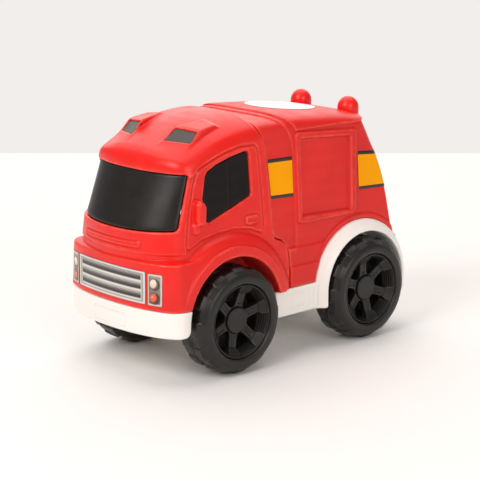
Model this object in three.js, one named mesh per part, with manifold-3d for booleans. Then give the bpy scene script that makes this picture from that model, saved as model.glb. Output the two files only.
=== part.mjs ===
// Toddler's push-along fire truck.
// Millimetres, +Z up, front towards -Y, the truck's left side towards +X.
// Stations written as sy(n) are n mm behind the front axle.
import * as THREE from 'three';
import { mergeVertices } from 'three/addons/utils/BufferGeometryUtils.js';
import { ConvexGeometry } from 'three/addons/geometries/ConvexGeometry.js';
import Module from 'manifold-3d';

const wasm = await Module();
wasm.setup();

// ---------------------------------------------------------------- dimensions
const FRONT_AXLE_Y = -56.5;     // puts the bounding box centre on x = y = 0
const WHEELBASE = 129.3;
const AXLE_Z = 38;              // axle height over the floor
const TYRE_FLAT_R = 38;         // axle to the flat of a tread block
const LUGS = 12;                // tread blocks in each of the two bands
const WHEEL_OUT_X = 66.4;       // outermost face of a tyre
const TYRE_IN_X = 38.2;
const RIM_R = 26.2;
const AXLE_R = 2.2;
const GAP = 0.3;                // assembly clearance between separate pieces
const WALL = 2.5;               // moulded wall thickness
const WELL_R_FRONT = 42.0;      // front wheel-arch radius
const WELL_R_REAR = 39.4;       // rear wheel-arch radius at the flared lip
const WELL_Z = 41.2;            // centre height of both arches
const WELL_IN_X = 35.0;         // inner side wall of the wheel wells
const FLARE_R = 47.8;           // where the white rear flare meets the red side
const PAN_TOP = 49.4;           // joint between white chassis and red body
const BODY_BOTTOM = PAN_TOP + GAP;
const BUMPER_TOP = 52.2;         // the front bumper stands higher than the sills
const BUMPER_BACK = -37.3;       // station where the bumper top steps down
const PAN_BOTTOM = 29.5;
const BUMPER_BOTTOM = 33.7;
const SILL_X = 55.2;
const LABEL_T = 0.35;
const LABEL_GAP = 0.22;
const SEGS = 32;

const sy = (n) => FRONT_AXLE_Y + n;
const REAR_AXLE_Y = sy(WHEELBASE);

// ---------------------------------------------------------------- helpers
const lerpTable = (t, z) => {
  if (z <= t[0][0]) return t[0][1];
  for (let i = 1; i < t.length; i++) {
    if (z <= t[i][0]) {
      const k = (z - t[i - 1][0]) / (t[i][0] - t[i - 1][0]);
      return t[i - 1][1] + k * (t[i][1] - t[i - 1][1]);
    }
  }
  return t[t.length - 1][1];
};

function solid(geo) {
  const g = geo.index ? geo.toNonIndexed() : geo;
  const bare = new THREE.BufferGeometry();
  bare.setAttribute('position', g.getAttribute('position').clone());
  const m = mergeVertices(bare, 1e-4);
  const mesh = new wasm.Mesh({
    numProp: 3,
    vertProperties: new Float32Array(m.getAttribute('position').array),
    triVerts: new Uint32Array(m.index.array),
  });
  mesh.merge();
  return new wasm.Manifold(mesh);
}

function geometryOf(man) {
  const m = man.getMesh();
  const g = new THREE.BufferGeometry();
  const pos = new Float32Array(m.numVert * 3);
  for (let i = 0; i < m.numVert; i++) {
    for (let k = 0; k < 3; k++) pos[3 * i + k] = m.vertProperties[i * m.numProp + k];
  }
  g.setAttribute('position', new THREE.BufferAttribute(pos, 3));
  g.setIndex(new THREE.BufferAttribute(new Uint32Array(m.triVerts), 1));
  const flat = g.toNonIndexed();
  flat.computeVertexNormals();
  return flat;
}

// closed skin through rings that all have the same number of points
function ringSkin(rings) {
  const n = rings[0].length;
  const v = [];
  const idx = [];
  for (const r of rings) for (const p of r) v.push(p[0], p[1], p[2]);
  for (let j = 0; j < rings.length - 1; j++) {
    for (let i = 0; i < n; i++) {
      const a = j * n + i;
      const b = j * n + ((i + 1) % n);
      idx.push(a, b, b + n, a, b + n, a + n);
    }
  }
  const last = (rings.length - 1) * n;
  for (let i = 1; i < n - 1; i++) {
    idx.push(0, i + 1, i);
    idx.push(last, last + i, last + i + 1);
  }
  const g = new THREE.BufferGeometry();
  g.setAttribute('position', new THREE.Float32BufferAttribute(v, 3));
  g.setIndex(idx);
  return g;
}

function ringSolid(rings) {
  let m = solid(ringSkin(rings));
  if (m.volume() < 0) m = solid(ringSkin(rings.slice().reverse()));
  return m;
}

// a side-view outline [y, z] extruded from x0 to x1
function prismX(pts, x0, x1) {
  const s = new THREE.Shape(pts.map((p) => new THREE.Vector2(p[0], p[1])));
  const g = new THREE.ExtrudeGeometry(s, { depth: x1 - x0, bevelEnabled: false, steps: 1, curveSegments: 6 });
  // shape x -> world y, shape y -> world z, depth -> world x
  g.applyMatrix4(new THREE.Matrix4().set(0, 0, 1, x0, 1, 0, 0, 0, 0, 1, 0, 0, 0, 0, 0, 1));
  return solid(g);
}

// a front-view outline [x, z] extruded from y0 to y1
function prismY(pts, y0, y1) {
  const s = new THREE.Shape(pts.map((p) => new THREE.Vector2(p[0], p[1])));
  const g = new THREE.ExtrudeGeometry(s, { depth: y1 - y0, bevelEnabled: false, steps: 1, curveSegments: 6 });
  // shape x -> world x, shape y -> world z, depth -> world -y
  g.applyMatrix4(new THREE.Matrix4().set(1, 0, 0, 0, 0, 0, -1, y1, 0, 1, 0, 0, 0, 0, 0, 1));
  return solid(g);
}

function box(x0, x1, y0, y1, z0, z1) {
  const g = new THREE.BoxGeometry(x1 - x0, y1 - y0, z1 - z0);
  g.translate((x0 + x1) / 2, (y0 + y1) / 2, (z0 + z1) / 2);
  return solid(g);
}

function rodX(r, x0, x1, y, z, seg = 24) {
  const g = new THREE.CylinderGeometry(r, r, x1 - x0, seg);
  g.rotateZ(Math.PI / 2);
  g.translate((x0 + x1) / 2, y, z);
  return solid(g);
}

function rodZ(r, z0, z1, x, y, seg = 16) {
  const g = new THREE.CylinderGeometry(r, r, z1 - z0, seg);
  g.rotateX(Math.PI / 2);
  g.translate(x, y, (z0 + z1) / 2);
  return solid(g);
}

// revolve a closed [radius, x] outline about the X axis line through (y, z)
function latheX(profile, y, z, seg = SEGS, phase = 0) {
  const rings = [];
  const n = profile.length;
  const v = [];
  const idx = [];
  for (let i = 0; i < seg; i++) {
    const a = phase + (i / seg) * 2 * Math.PI;
    for (const [r, x] of profile) v.push(x, y + r * Math.cos(a), z + r * Math.sin(a));
  }
  for (let i = 0; i < seg; i++) {
    for (let j = 0; j < n; j++) {
      const a = i * n + j;
      const b = i * n + ((j + 1) % n);
      const c = ((i + 1) % seg) * n + ((j + 1) % n);
      const d = ((i + 1) % seg) * n + j;
      idx.push(a, b, c, a, c, d);
    }
  }
  const g = new THREE.BufferGeometry();
  g.setAttribute('position', new THREE.Float32BufferAttribute(v, 3));
  g.setIndex(idx);
  let m = solid(g);
  if (m.volume() < 0) {
    const rev = [];
    for (let i = 0; i < idx.length; i += 3) rev.push(idx[i], idx[i + 2], idx[i + 1]);
    g.setIndex(rev);
    m = solid(g);
  }
  return m;
}

// an arch-shaped band: a [radius, x] section swept over the wheel and down to zB
function archBand(profile, yc, zc, zB, seg = 20) {
  const rings = [];
  rings.push(profile.map(([r, x]) => [x, yc - r, zB]));
  for (let i = 0; i <= seg; i++) {
    const a = Math.PI - (i / seg) * Math.PI;
    rings.push(profile.map(([r, x]) => [x, yc + r * Math.cos(a), zc + r * Math.sin(a)]));
  }
  rings.push(profile.map(([r, x]) => [x, yc + r, zB]));
  return ringSolid(rings);
}

// room for a wheel: half-round above, straight below
const wellSpace = (r, x0, x1, yc, zc, zB, seg) => rodX(r, x0, x1, yc, zc, seg).add(box(x0, x1, yc - r, yc + r, zB, zc));
const mirrorX = (m) => m.mirror([1, 0, 0]);
const both = (m) => m.add(mirrorX(m));
const roundRect = (x0, x1, y0, y1, r, k = 4) => {
  const out = [];
  const c = [[x1 - r, y0 + r, -90], [x1 - r, y1 - r, 0], [x0 + r, y1 - r, 90], [x0 + r, y0 + r, 180]];
  for (const [cx, cy, a0] of c) {
    for (let i = 0; i <= k; i++) {
      const a = ((a0 + (90 * i) / k) * Math.PI) / 180;
      out.push([cx + r * Math.cos(a), cy + r * Math.sin(a)]);
    }
  }
  return out;
};
// move a closed outline inwards by d (small d, rounded corners kept)
function inset(pts, d) {
  const n = pts.length;
  let area = 0;
  for (let i = 0; i < n; i++) {
    const [x0, y0] = pts[i];
    const [x1, y1] = pts[(i + 1) % n];
    area += x0 * y1 - x1 * y0;
  }
  const sgn = area > 0 ? 1 : -1;
  return pts.map((p, i) => {
    const a = pts[(i + n - 1) % n];
    const b = pts[(i + 1) % n];
    const e1 = [p[0] - a[0], p[1] - a[1]];
    const e2 = [b[0] - p[0], b[1] - p[1]];
    const l1 = Math.hypot(...e1) || 1;
    const l2 = Math.hypot(...e2) || 1;
    const n1 = [(-e1[1] / l1) * sgn, (e1[0] / l1) * sgn];
    const n2 = [(-e2[1] / l2) * sgn, (e2[0] / l2) * sgn];
    const k = 1 + n1[0] * n2[0] + n1[1] * n2[1];
    return [p[0] + (d * (n1[0] + n2[0])) / k, p[1] + (d * (n1[1] + n2[1])) / k];
  });
}

// ---------------------------------------------------------------- body shape
// half-width of the body side against height
const SIDE = [[49, 54.2], [60, 53.9], [92, 52.5], [105, 51.9], [143, 49.4], [160, 48.6], [185, 48.4]];
// cab front on the centre line, and how far the plan rounds back at the corners
const CAB_FRONT = [[49, -63.9], [88, -63.8], [105, -63.1], [143.0, -46.2], [143.2, -46.2], [144.4, -47.4], [150, -47.6], [190, -47.6]];
const CAB_ROUND = [[49, 24], [92, 26], [105, 29], [143, 20], [190, 19]];
// lower nose and front wings: half-width, front, plan rounding
const NOSE = [
  [49.7, 59.8, -65.4, 19], [57, 59.5, -65.2, 18.6], [70, 58.6, -65.0, 18.6], [79, 57.6, -64.8, 19],
  [83.5, 56.4, -64.7, 19.6], [86.5, 54.6, -64.4, 21], [88.9, 52.6, -63.3, 23],
];
// cab roof ridge height against station
const CAB_ROOF = [[-75, 146], [-47.5, 147.2], [-46, 150.6], [-43, 154.4], [-38, 158.0], [-30, 161.7], [-20, 166.2], [-10, 170.3], [0, 173.2], [10, 175], [20, 176.1], [31, 176.6], [80, 176.6]];
const CAB_CROWN = [[-75, 3.3], [-20, 3.1], [10, 2.7], [31, 2.6]];
// rear body: tail against height, and its plan rounding
const TAIL = [[49, 177.2], [70.8, 177.2], [73, 174.2], [87, 172.6], [99, 171.2], [111, 169.2], [124, 166.4], [138, 162.4], [152, 157.6], [158, 154.6], [164, 151], [170, 147], [185, 141]];
const TAIL_ROUND = [[49, 9], [72, 10], [99, 13], [111, 14], [124, 16], [138, 19], [152, 24], [185, 26]];
const BOX_ROOF = [[20, 173.8], [62, 173.6], [80, 172.4], [97, 171.2], [118, 169.4], [134, 167.0], [144, 165.0], [150, 162.6], [156, 159], [162, 154], [180, 140]];

function plan(a, yF, b, p, yBack, n = 8) {
  const out = [];
  for (let i = -n; i <= n; i++) {
    const t = (i / n) * (Math.PI / 2);
    const sx = Math.sign(Math.sin(t)) * Math.abs(Math.sin(t)) ** (2 / p);
    const cy = Math.cos(t) < 1e-9 ? 0 : Math.cos(t) ** (2 / p);
    out.push([a * sx, sy(yF + b - b * cy)]);
  }
  out.push([a, sy(yBack)], [-a, sy(yBack)]);
  return out;
}

function planTail(a, yR, b, p, yFront, n = 7) {
  const out = [];
  for (let i = -n; i <= n; i++) {
    const t = (i / n) * (Math.PI / 2);
    const sx = Math.sign(Math.sin(t)) * Math.abs(Math.sin(t)) ** (2 / p);
    const cy = Math.cos(t) < 1e-9 ? 0 : Math.cos(t) ** (2 / p);
    out.push([-a * sx, sy(yR - b + b * cy)]);
  }
  out.push([-a, sy(yFront)], [a, sy(yFront)]);
  return out;
}

const CAB_Z = [47, 72, 92, 105, 124, 143.1, 144.6, 160, 190];
function cabLoft(off, zs = CAB_Z, n = 6) {
  return ringSolid(zs.map((z) => plan(
    lerpTable(SIDE, z) + off, lerpTable(CAB_FRONT, z) - off, lerpTable(CAB_ROUND, z), 2.12, 75, n,
  ).map(([x, y]) => [x, y, z])));
}

const roofSection = (W, H, D, p, n) => {
  const out = [];
  for (let i = 0; i <= n; i++) {
    const t = Math.PI * (i / n);
    const c = Math.cos(t);
    const s = Math.abs(Math.sin(t)) < 1e-9 ? 0 : Math.sin(t);
    out.push([W * Math.sign(c) * Math.abs(c) ** (2 / p), H - D + D * s ** (2 / p)]);
  }
  out.push([-(W + 9), 40], [W + 9, 40]);
  return out;
};

const CAB_Y = [-75, -47.5, -46, -43, -38, -30, -20, -10, 0, 15, 31, 75];
function cabRoof(off, ys = CAB_Y, n = 12) {
  return ringSolid(ys.map((y) => {
    const H = lerpTable(CAB_ROOF, y) + off;
    const k = 49.6 + off;
    return roofSection(k, H, 22, lerpTable(CAB_CROWN, y), n).map(([x, z]) => [x, sy(y), z]);
  }));
}
const cabOuter = (off) => cabLoft(off).intersect(cabRoof(off));

const NOSE_BACK = 4;
function noseLoft(off, n = 6) {
  const lv = [[46, 59.8, -65.4, 19], ...NOSE.slice(1)];
  return ringSolid(lv.map(([z, a, yF, b]) => plan(a + off, yF - off, b, 2.2, NOSE_BACK, n)
    .map(([x, y]) => [x, y, z + (z > 80 ? off * 0.7 : 0)])));
}
// front wing over the wheel: stepped bulge around the arch
const wing = (off) => latheX([
  [30, 30], [30, 60.6 + off], [43, 60.5 + off], [48.6 + off * 0.5, 59.0 + off], [49.4 + off, 58.2 + off],
  [54 + off, 55.6 + off], [57.6 + off, 52.4 + off], [57.6 + off, 30],
], FRONT_AXLE_Y, WELL_Z - 0.4, 28);

const BOX_Z = [47, 70.8, 73, 92, 111, 124, 138, 152, 160, 172, 186];
function boxLoft(off, zs = BOX_Z, n = 5) {
  return ringSolid(zs.map((z) => planTail(
    lerpTable(SIDE, z) + off, lerpTable(TAIL, z) + off, lerpTable(TAIL_ROUND, z), 2.1, 22, n,
  ).map(([x, y]) => [x, y, z])));
}
const BOX_Y = [20, 62, 97, 118, 134, 144, 150, 156, 165, 182];
function boxRoof(off, ys = BOX_Y, n = 12) {
  return ringSolid(ys.map((y) => roofSection(49.0 + off, lerpTable(BOX_ROOF, y) + off, 17, 4.2, n)
    .map(([x, z]) => [x, sy(y), z])));
}
const boxOuter = (off) => boxLoft(off).intersect(boxRoof(off));

// joint line between cab and rear body, in side view [station, z]
const SEAM = [[57.2, 20], [57.0, 70], [55.8, 77], [53.8, 82], [50.4, 85.2], [43.6, 86.6], [41.6, 98], [40.6, 112], [40.0, 126], [38.8, 140], [37.3, 151], [34.6, 161], [31.6, 167], [30.2, 172], [29, 190]];
const cabSide = prismX([[sy(-90), 20], ...SEAM.map(([y, z]) => [sy(y) - GAP / 2, z]), [sy(-90), 190]], -90, 90);
const boxSide = prismX([[sy(230), 190], ...SEAM.slice().reverse().map(([y, z]) => [sy(y) + GAP / 2, z]), [sy(230), 20]], -90, 90);

// ---------------------------------------------------------------- cab shell
const WINDSCREEN = [
  [-45.2, 105.6], [-30, 105.2], [-15, 105.0], [0, 105.0], [15, 105.0], [30, 105.2], [45.2, 105.6], [47.6, 106.4], [48.5, 108.6],
  [46.9, 139.6], [46.2, 142.0], [43.6, 143.0], [20, 142.9], [0, 142.9], [-20, 142.9], [-43.6, 143.0], [-46.2, 142.0], [-46.9, 139.6], [-48.5, 108.6], [-47.6, 106.4],
];
const SIDE_WINDOW = [
  [-21.7, 125.4], [-18.6, 140.0], [-16.8, 142.6], [-9, 146.4], [4.2, 150.2], [17.6, 152.6], [20.2, 152.4], [21.4, 150.4], [22.2, 123.6], [21.2, 121.2],
  [3, 114.8], [-15, 108.8], [-17.8, 108.2], [-19.4, 110.0],
];
const DOOR = [
  [-38.9, 96], [-38.2, 93.2], [-35.5, 92.4], [-24.5, 97.2], [-10.8, 99.6], [4.9, 100.4], [18.9, 98.6], [29.4, 94.6], [31.6, 94.6], [32.2, 97.5],
  [32.0, 110], [31.2, 128], [30.0, 145.4], [28.9, 154.0], [26.6, 156.6], [13.4, 156.6], [0, 154.2], [-10.9, 150.9], [-21.2, 147.2], [-26.2, 144.6], [-28.4, 140],
  [-31.2, 132.9], [-34.7, 119.8], [-37.4, 106.6],
];
const sideOutline = (o) => o.map(([y, z]) => [sy(y), z]);

const cabIn = cabLoft(-WALL, [46, 92, 105, 143.6, 160, 190], 6)
  .intersect(cabRoof(-WALL, [-75, -46, -38, -30, -15, 5, 31, 75], 10));
const wingIn = latheX([[30, 30], [30, 58], [46.4, 58], [54, 52.5], [55, 30]], FRONT_AXLE_Y, WELL_Z - 0.4, 16);
const noseIn = noseLoft(-WALL, 6);
const wellFront = rodX(WELL_R_FRONT, WELL_IN_X, 90, FRONT_AXLE_Y, WELL_Z - 0.4, 28);
const wellFrontWall = rodX(WELL_R_FRONT + WALL, WELL_IN_X - WALL, 90, FRONT_AXLE_Y, WELL_Z - 0.4, 28);

let cab = cabOuter(0);
cab = cab.add(noseLoft(0)).add(both(wing(0)));
cab = cab.subtract(cabIn.add(noseIn).add(both(wingIn)).subtract(both(wellFrontWall)));
cab = cab.subtract(both(wellFront));

// roof lamp pods
const PODC = { ot: [38.4, -15.4, 169.9], it: [17.6, -20.0, 171.0], ob: [38.8, -23.4, 160.0], ib: [16.0, -31.4, 161.2] };
const podPts = [PODC.ot, PODC.it, PODC.ob, PODC.ib, [36.4, 0.5, 169.6], [21.0, 0.5, 172.0], [35.5, 5.5, 166.0], [22.0, 6.5, 171.0], [37.5, -2, 160], [19, -8, 160]]
  .map((p) => new THREE.Vector3(p[0], sy(p[1]), p[2]));
const pod = solid(new ConvexGeometry(podPts));
// lens frame: origin and axes of the lens plane
const lensC = [[36.6, -15.8, 168.3], [19.1, -19.7, 169.4], [17.5, -29.0, 162.3], [37.0, -22.0, 161.6]].map((p) => new THREE.Vector3(p[0], sy(p[1]), p[2]));
const lensMid = lensC.reduce((a, b) => a.clone().add(b), new THREE.Vector3()).multiplyScalar(0.25);
const lensU = lensC[1].clone().sub(lensC[0]).add(lensC[2].clone().sub(lensC[3])).normalize();
const lensV0 = lensC[0].clone().sub(lensC[3]).add(lensC[1].clone().sub(lensC[2]));
const lensN = new THREE.Vector3().crossVectors(lensU, lensV0).normalize();
const lensV = new THREE.Vector3().crossVectors(lensN, lensU).normalize();
const lensM = new THREE.Matrix4().makeBasis(lensU, lensV, lensN).setPosition(lensMid);
function lensPrism(grow, d0, d1) {
  const q = lensC.map((p) => { const r = p.clone().sub(lensMid); return [r.dot(lensU), r.dot(lensV)]; });
  const o = inset(q, -grow);
  const g = new THREE.ExtrudeGeometry(new THREE.Shape(o.map((p) => new THREE.Vector2(p[0], p[1]))), { depth: d1 - d0, bevelEnabled: false });
  g.translate(0, 0, d0);
  g.applyMatrix4(lensM);
  return solid(g);
}
const lensOutward = lensN.z * 0.5 - lensN.y > 0 ? 1 : -1;
const podPocket = lensOutward > 0 ? lensPrism(GAP, -2.4, 8) : lensPrism(GAP, -8, 2.4);
const lensSolid = lensOutward > 0 ? lensPrism(0, -2.0, -0.5) : lensPrism(0, 0.5, 2.0);
cab = cab.add(both(pod.subtract(cabIn))).subtract(both(podPocket.subtract(cabIn)));

// windscreen and side window openings, door outline groove
const windscreenCut = prismY(WINDSCREEN, sy(-80), sy(-27));
cab = cab.subtract(windscreenCut);
const sideWindowCut = prismX(sideOutline(SIDE_WINDOW), 40, 70);
cab = cab.subtract(both(sideWindowCut));
const doorRing = prismX(sideOutline(DOOR), 44, 60).subtract(prismX(sideOutline(inset(DOOR, 1.1)), 43, 61));
cab = cab.subtract(both(doorRing.subtract(cabOuter(-0.8))));
// door handle pad and mirror
cab = cab.add(both(prismX(sideOutline(roundRect(15.4, 27.4, 102.6, 107.6, 2.3, 3)), 50.4, 52.6)));
const mirrorHead = prismX(sideOutline([[-31.4, 108.0], [-25.6, 106.8], [-23.4, 109.2], [-22.8, 121.4], [-25.2, 124.6], [-29.4, 126.4], [-31.8, 123.6], [-32.2, 112]]), 49.8, 56.2);
const mirrorFoot = prismX(sideOutline(roundRect(-33.4, -26.6, 101.8, 110, 2.8, 3)), 49.8, 54.4);
cab = cab.add(both(mirrorHead.add(mirrorFoot).subtract(cabIn)));
// screw bosses under the cab
const CAB_BOSSES = [[0, -59.2, BUMPER_BOTTOM], [48.6, 50.4, PAN_BOTTOM], [-48.6, 50.4, PAN_BOTTOM]];
const REAR_BOSSES = [[0, 171.8, BUMPER_BOTTOM], [48.4, 65.2, PAN_BOTTOM], [-48.4, 65.2, PAN_BOTTOM]];
const bossTop = (x) => (x === 0 ? 70 : 62);
cab = cab.intersect(cabSide).subtract(box(-90, 90, sy(-90), sy(75), -20, BODY_BOTTOM))
  .subtract(box(-90, 90, sy(-90), sy(BUMPER_BACK + GAP), -20, BUMPER_TOP + GAP));
for (const [x, y, z0] of CAB_BOSSES) cab = cab.add(rodZ(3.6, z0 + 6.6, bossTop(x), x, sy(y), 10));
cab = cab.add(box(-1.3, 1.3, sy(-63.6), sy(-60.5), BUMPER_TOP + 0.9, 69));
for (const [x, y, z0] of CAB_BOSSES) cab = cab.subtract(rodZ(1.7, z0, z0 + 17, x, sy(y), 8));

// ---------------------------------------------------------------- rear body
const RIM_LINE = [[64.5, 40], [64.6, 143], [63.4, 153], [60.4, 160], [55.5, 167], [50.5, 171.5], [46.5, 175], [42, 186]];
const behind = (line) => prismX([[sy(230), 190], ...line.slice().reverse().map(([y, z]) => [sy(y), z]), [sy(230), 40]], -90, 90);
const PANEL_OUT = [[68.2, 160.4], [127.6, 156.2], [128.8, 154.6], [125.8, 98.4], [122.6, 94.6], [70, 94.6], [66.6, 96.4], [66.2, 158.4]];
const PANEL_IN = [[71.7, 154.8], [121.7, 151.4], [119.8, 97.8], [71.2, 99.6]];
let rear = boxOuter(-2.2);
rear = rear.add(boxOuter(-1.2).intersect(behind(RIM_LINE)));
const plateau = prismX([[sy(56.5), 172.4], [sy(58), 186], [sy(200), 186], [sy(200), 161], [sy(66.8), 161.5], [sy(64), 166]], -90, 90);
rear = rear.add(boxOuter(0.2).intersect(plateau));
rear = rear.add(boxOuter(-0.2).intersect(prismX(sideOutline(PANEL_OUT), -90, 90)));
const panelCut = prismX(sideOutline(PANEL_IN), 30, 90);
rear = rear.subtract(both(panelCut.subtract(boxOuter(-1.9))));
rear = rear.add(boxOuter(-0.6).intersect(box(-90, 90, sy(57), sy(200), 40, 77.6)));
rear = rear.add(boxOuter(0.2).intersect(box(-90, 90, sy(57), sy(200), 40, 64.4)));
rear = rear.add(boxOuter(-0.4).intersect(both(rodX(51.6, 30, 90, REAR_AXLE_Y, WELL_Z, 28))));
const boxIn = boxLoft(-WALL - 2.2, [46, 70.8, 92, 124, 152, 172, 186], 5)
  .intersect(boxRoof(-WALL - 1.6, [20, 62, 118, 144, 156, 182], 12));
rear = rear.subtract(boxIn.intersect(box(-90, 90, -200, 200, 10, 200)));
rear = rear.subtract(both(wellSpace(FLARE_R + GAP, 20, 90, REAR_AXLE_Y, WELL_Z, 20, 28)));
rear = rear.intersect(boxSide).subtract(box(-90, 90, sy(0), sy(230), -20, BODY_BOTTOM));
for (const [x, y, z0] of REAR_BOSSES) rear = rear.add(rodZ(3.6, z0 + 6.6, bossTop(x), x, sy(y), 10));
for (const [x, y, z0] of REAR_BOSSES) rear = rear.subtract(rodZ(1.7, z0, z0 + 17, x, sy(y), 8));

// beacons: egg-shaped domes with a stem through the roof
const BEACON = [25, 143.4];
const beaconProfile = [[0, 149], [3, 149], [3, 160.8], [8.3, 160.8], [8.6, 165.5], [8.0, 169], [6.4, 172.4], [4.0, 174.8], [1.8, 175.8], [0, 176.1]];
function latheZ(profile, x, y, seg) {
  const g = new THREE.LatheGeometry(profile.map(([r, z]) => new THREE.Vector2(r, z)), seg);
  g.rotateX(Math.PI / 2);
  g.translate(x, y, 0);
  let m = solid(g);
  if (m.volume() < 0) {
    const h = new THREE.LatheGeometry(profile.slice().reverse().map(([r, z]) => new THREE.Vector2(r, z)), seg);
    h.rotateX(Math.PI / 2);
    h.translate(x, y, 0);
    m = solid(h);
  }
  return m;
}
const beaconFull = latheZ(beaconProfile, BEACON[0], sy(BEACON[1]), 16);
const beaconStem = rodZ(3, 149.5, 166, BEACON[0], sy(BEACON[1]), 16);
const beacon = beaconFull.subtract(boxOuter(0.2 + GAP).subtract(beaconStem));
rear = rear.subtract(both(rodZ(3 + GAP, 140, 190, BEACON[0], sy(BEACON[1]), 16)));

// ---------------------------------------------------------------- labels and inserts
const skin = (f, lo, hi) => f(hi).subtract(f(lo));
const label = (f, base, cut) => skin(f, base + LABEL_GAP, base + LABEL_GAP + LABEL_T).intersect(cut);
const windscreen = skin(cabOuter, -1.0 - 2.2, -1.0).intersect(prismY(inset(WINDSCREEN, GAP), sy(-80), sy(-27.3)));
const sideWindow = skin(cabOuter, -2.0 - 2.2, -2.0).intersect(prismX(sideOutline(inset(SIDE_WINDOW, GAP)), 40, 70));
const grille = label(noseLoft, 0, prismY([[-36.4, 56.4], [36.4, 56.4], [36.4, 79.0], [-36.4, 79.0]], sy(-80), sy(-40)));
const lampOut = [[38.1, 56.4], [47.4, 56.4], [48.8, 57.8], [49.0, 76.8], [47.8, 78.2], [38.1, 78.2]];
const lamp = label(noseLoft, 0, prismY(lampOut, sy(-80), sy(-40)));
const roundel = label(boxOuter, 0.2, rodZ(26.2, 150, 190, 0, sy(96.7), 32));
const stripeF = [[41.3, 116.0], [64.0, 114.9], [64.0, 143.6], [39.4, 144.2]];
const stripeR = [[129.6, 110.7], [165.5, 109.0], [165.5, 137.2], [130.6, 139.4]];
const stripeFront = label(boxOuter, -2.2, prismX(sideOutline(stripeF), 30, 90));
const stripeRear = label(boxOuter, -1.2, prismX(sideOutline(stripeR), 44.6, 90));

// ---------------------------------------------------------------- chassis pan
const frontPlan = (off) => plan(60.5 + off, -66 - off, 20.5, 2.08, -8, 6);
const mainPlan = (off) => planTail(SILL_X + off, 179 + off, 10.5, 2.15, -50, 6);
const slab = (pl, z0, z1) => ringSolid([pl.map(([x, y]) => [x, y, z0]), pl.map(([x, y]) => [x, y, z1])]);
let pan = slab(frontPlan(0), BUMPER_BOTTOM, BUMPER_TOP).subtract(box(-90, 90, sy(BUMPER_BACK), sy(30), PAN_TOP, 60))
  .add(slab(mainPlan(0), PAN_BOTTOM, PAN_TOP));
pan = pan.subtract(box(-90, 90, sy(-90), sy(-34), 10, BUMPER_BOTTOM));
pan = pan.subtract(box(-90, 90, sy(166), sy(230), 10, BUMPER_BOTTOM));
const wellsF = both(wellSpace(WELL_R_FRONT, WELL_IN_X, 90, FRONT_AXLE_Y, WELL_Z - 0.4, 10, 28));
const wellsR = both(wellSpace(WELL_R_REAR, WELL_IN_X, 90, REAR_AXLE_Y, WELL_Z, 10, 28));
const wallsF = both(wellSpace(WELL_R_FRONT + WALL, WELL_IN_X - WALL, 90, FRONT_AXLE_Y, WELL_Z - 0.4, 10, 28));
const wallsR = both(wellSpace(WELL_R_REAR + WALL, WELL_IN_X - WALL, 90, REAR_AXLE_Y, WELL_Z, 10, 28));
let hollow = slab(frontPlan(-WALL), BUMPER_BOTTOM + WALL, 60).add(slab(mainPlan(-WALL), PAN_BOTTOM + WALL, 60).subtract(box(-90, 90, sy(-90), sy(-32), 10, BUMPER_BOTTOM + WALL)).subtract(box(-90, 90, sy(164), sy(230), 10, BUMPER_BOTTOM + WALL)));
hollow = hollow.subtract(wallsF).subtract(wallsR);
pan = pan.subtract(hollow);
// rear flares with their wheel-well barrels
const flare = archBand([
  [WELL_R_REAR - 1, WELL_IN_X - WALL], [WELL_R_REAR + WALL, WELL_IN_X - WALL], [WELL_R_REAR + WALL, 54.4], [FLARE_R - 2.6, 51.2], [FLARE_R, 51.2],
  [FLARE_R, 53.7], [WELL_R_REAR + 4.6, 57.7], [WELL_R_REAR + 0.8, 60.4], [WELL_R_REAR - 1, 60.4],
], REAR_AXLE_Y, WELL_Z, PAN_BOTTOM, 14);
const wellEnd = wellSpace(WELL_R_REAR + WALL - 0.2, WELL_IN_X - WALL, WELL_IN_X, REAR_AXLE_Y, WELL_Z, PAN_BOTTOM, 28);
pan = pan.add(both(flare)).add(both(wellEnd)).subtract(wellsF).subtract(wellsR);
pan = pan.subtract(box(-90, 90, -200, 200, -20, PAN_BOTTOM));
// the bumper's lower back corners are rounded where they meet the front wheel openings
const bumperCorner = [[-41.5, 33.2], [-41.5, 40.2], ...[0, 18, 36, 54, 72, 90].map((a) => [-48 + 6 * Math.cos((a * Math.PI) / 180), 39.7 - 6 * Math.sin((a * Math.PI) / 180)]), [-48, 33.2]];
pan = pan.subtract(both(prismX(bumperCorner.map(([n, z]) => [sy(n), z]), WELL_IN_X + WALL, 70)));
// the tail's underside rises to the bumper height
pan = pan.subtract(box(-90, 90, sy(166), sy(230), 10, BUMPER_BOTTOM));
// axle saddles, keeper posts and screw cups
const POST_Y = 7.2;
for (const ya of [FRONT_AXLE_Y, REAR_AXLE_Y]) {
  for (const x of [-22, 22]) pan = pan.add(box(x - 4, x + 4, ya - 7, ya + 7, PAN_BOTTOM + 1, AXLE_Z - 0.2));
  for (const s of [-1, 1]) pan = pan.add(rodZ(3.2, PAN_BOTTOM + 1, AXLE_Z - 0.2, 0, ya + s * POST_Y, 14));
  pan = pan.subtract(rodX(AXLE_R + 0.35, -60, 60, ya, AXLE_Z, 20));
  for (const s of [-1, 1]) pan = pan.subtract(rodZ(1.35, PAN_BOTTOM + 2.6, AXLE_Z + 1, 0, ya + s * POST_Y, 10));
}
const CUPS = [...CAB_BOSSES, ...REAR_BOSSES];
for (const [x, y, z0] of CUPS) {
  pan = pan.add(rodZ(4.9, z0 + 0.5, z0 + 6.3, x, sy(y), 12));
  pan = pan.subtract(rodZ(3.2, z0 - 1, z0 + 3.8, x, sy(y), 12));
  pan = pan.subtract(rodZ(1.75, z0, z0 + 8, x, sy(y), 8));
}

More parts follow.
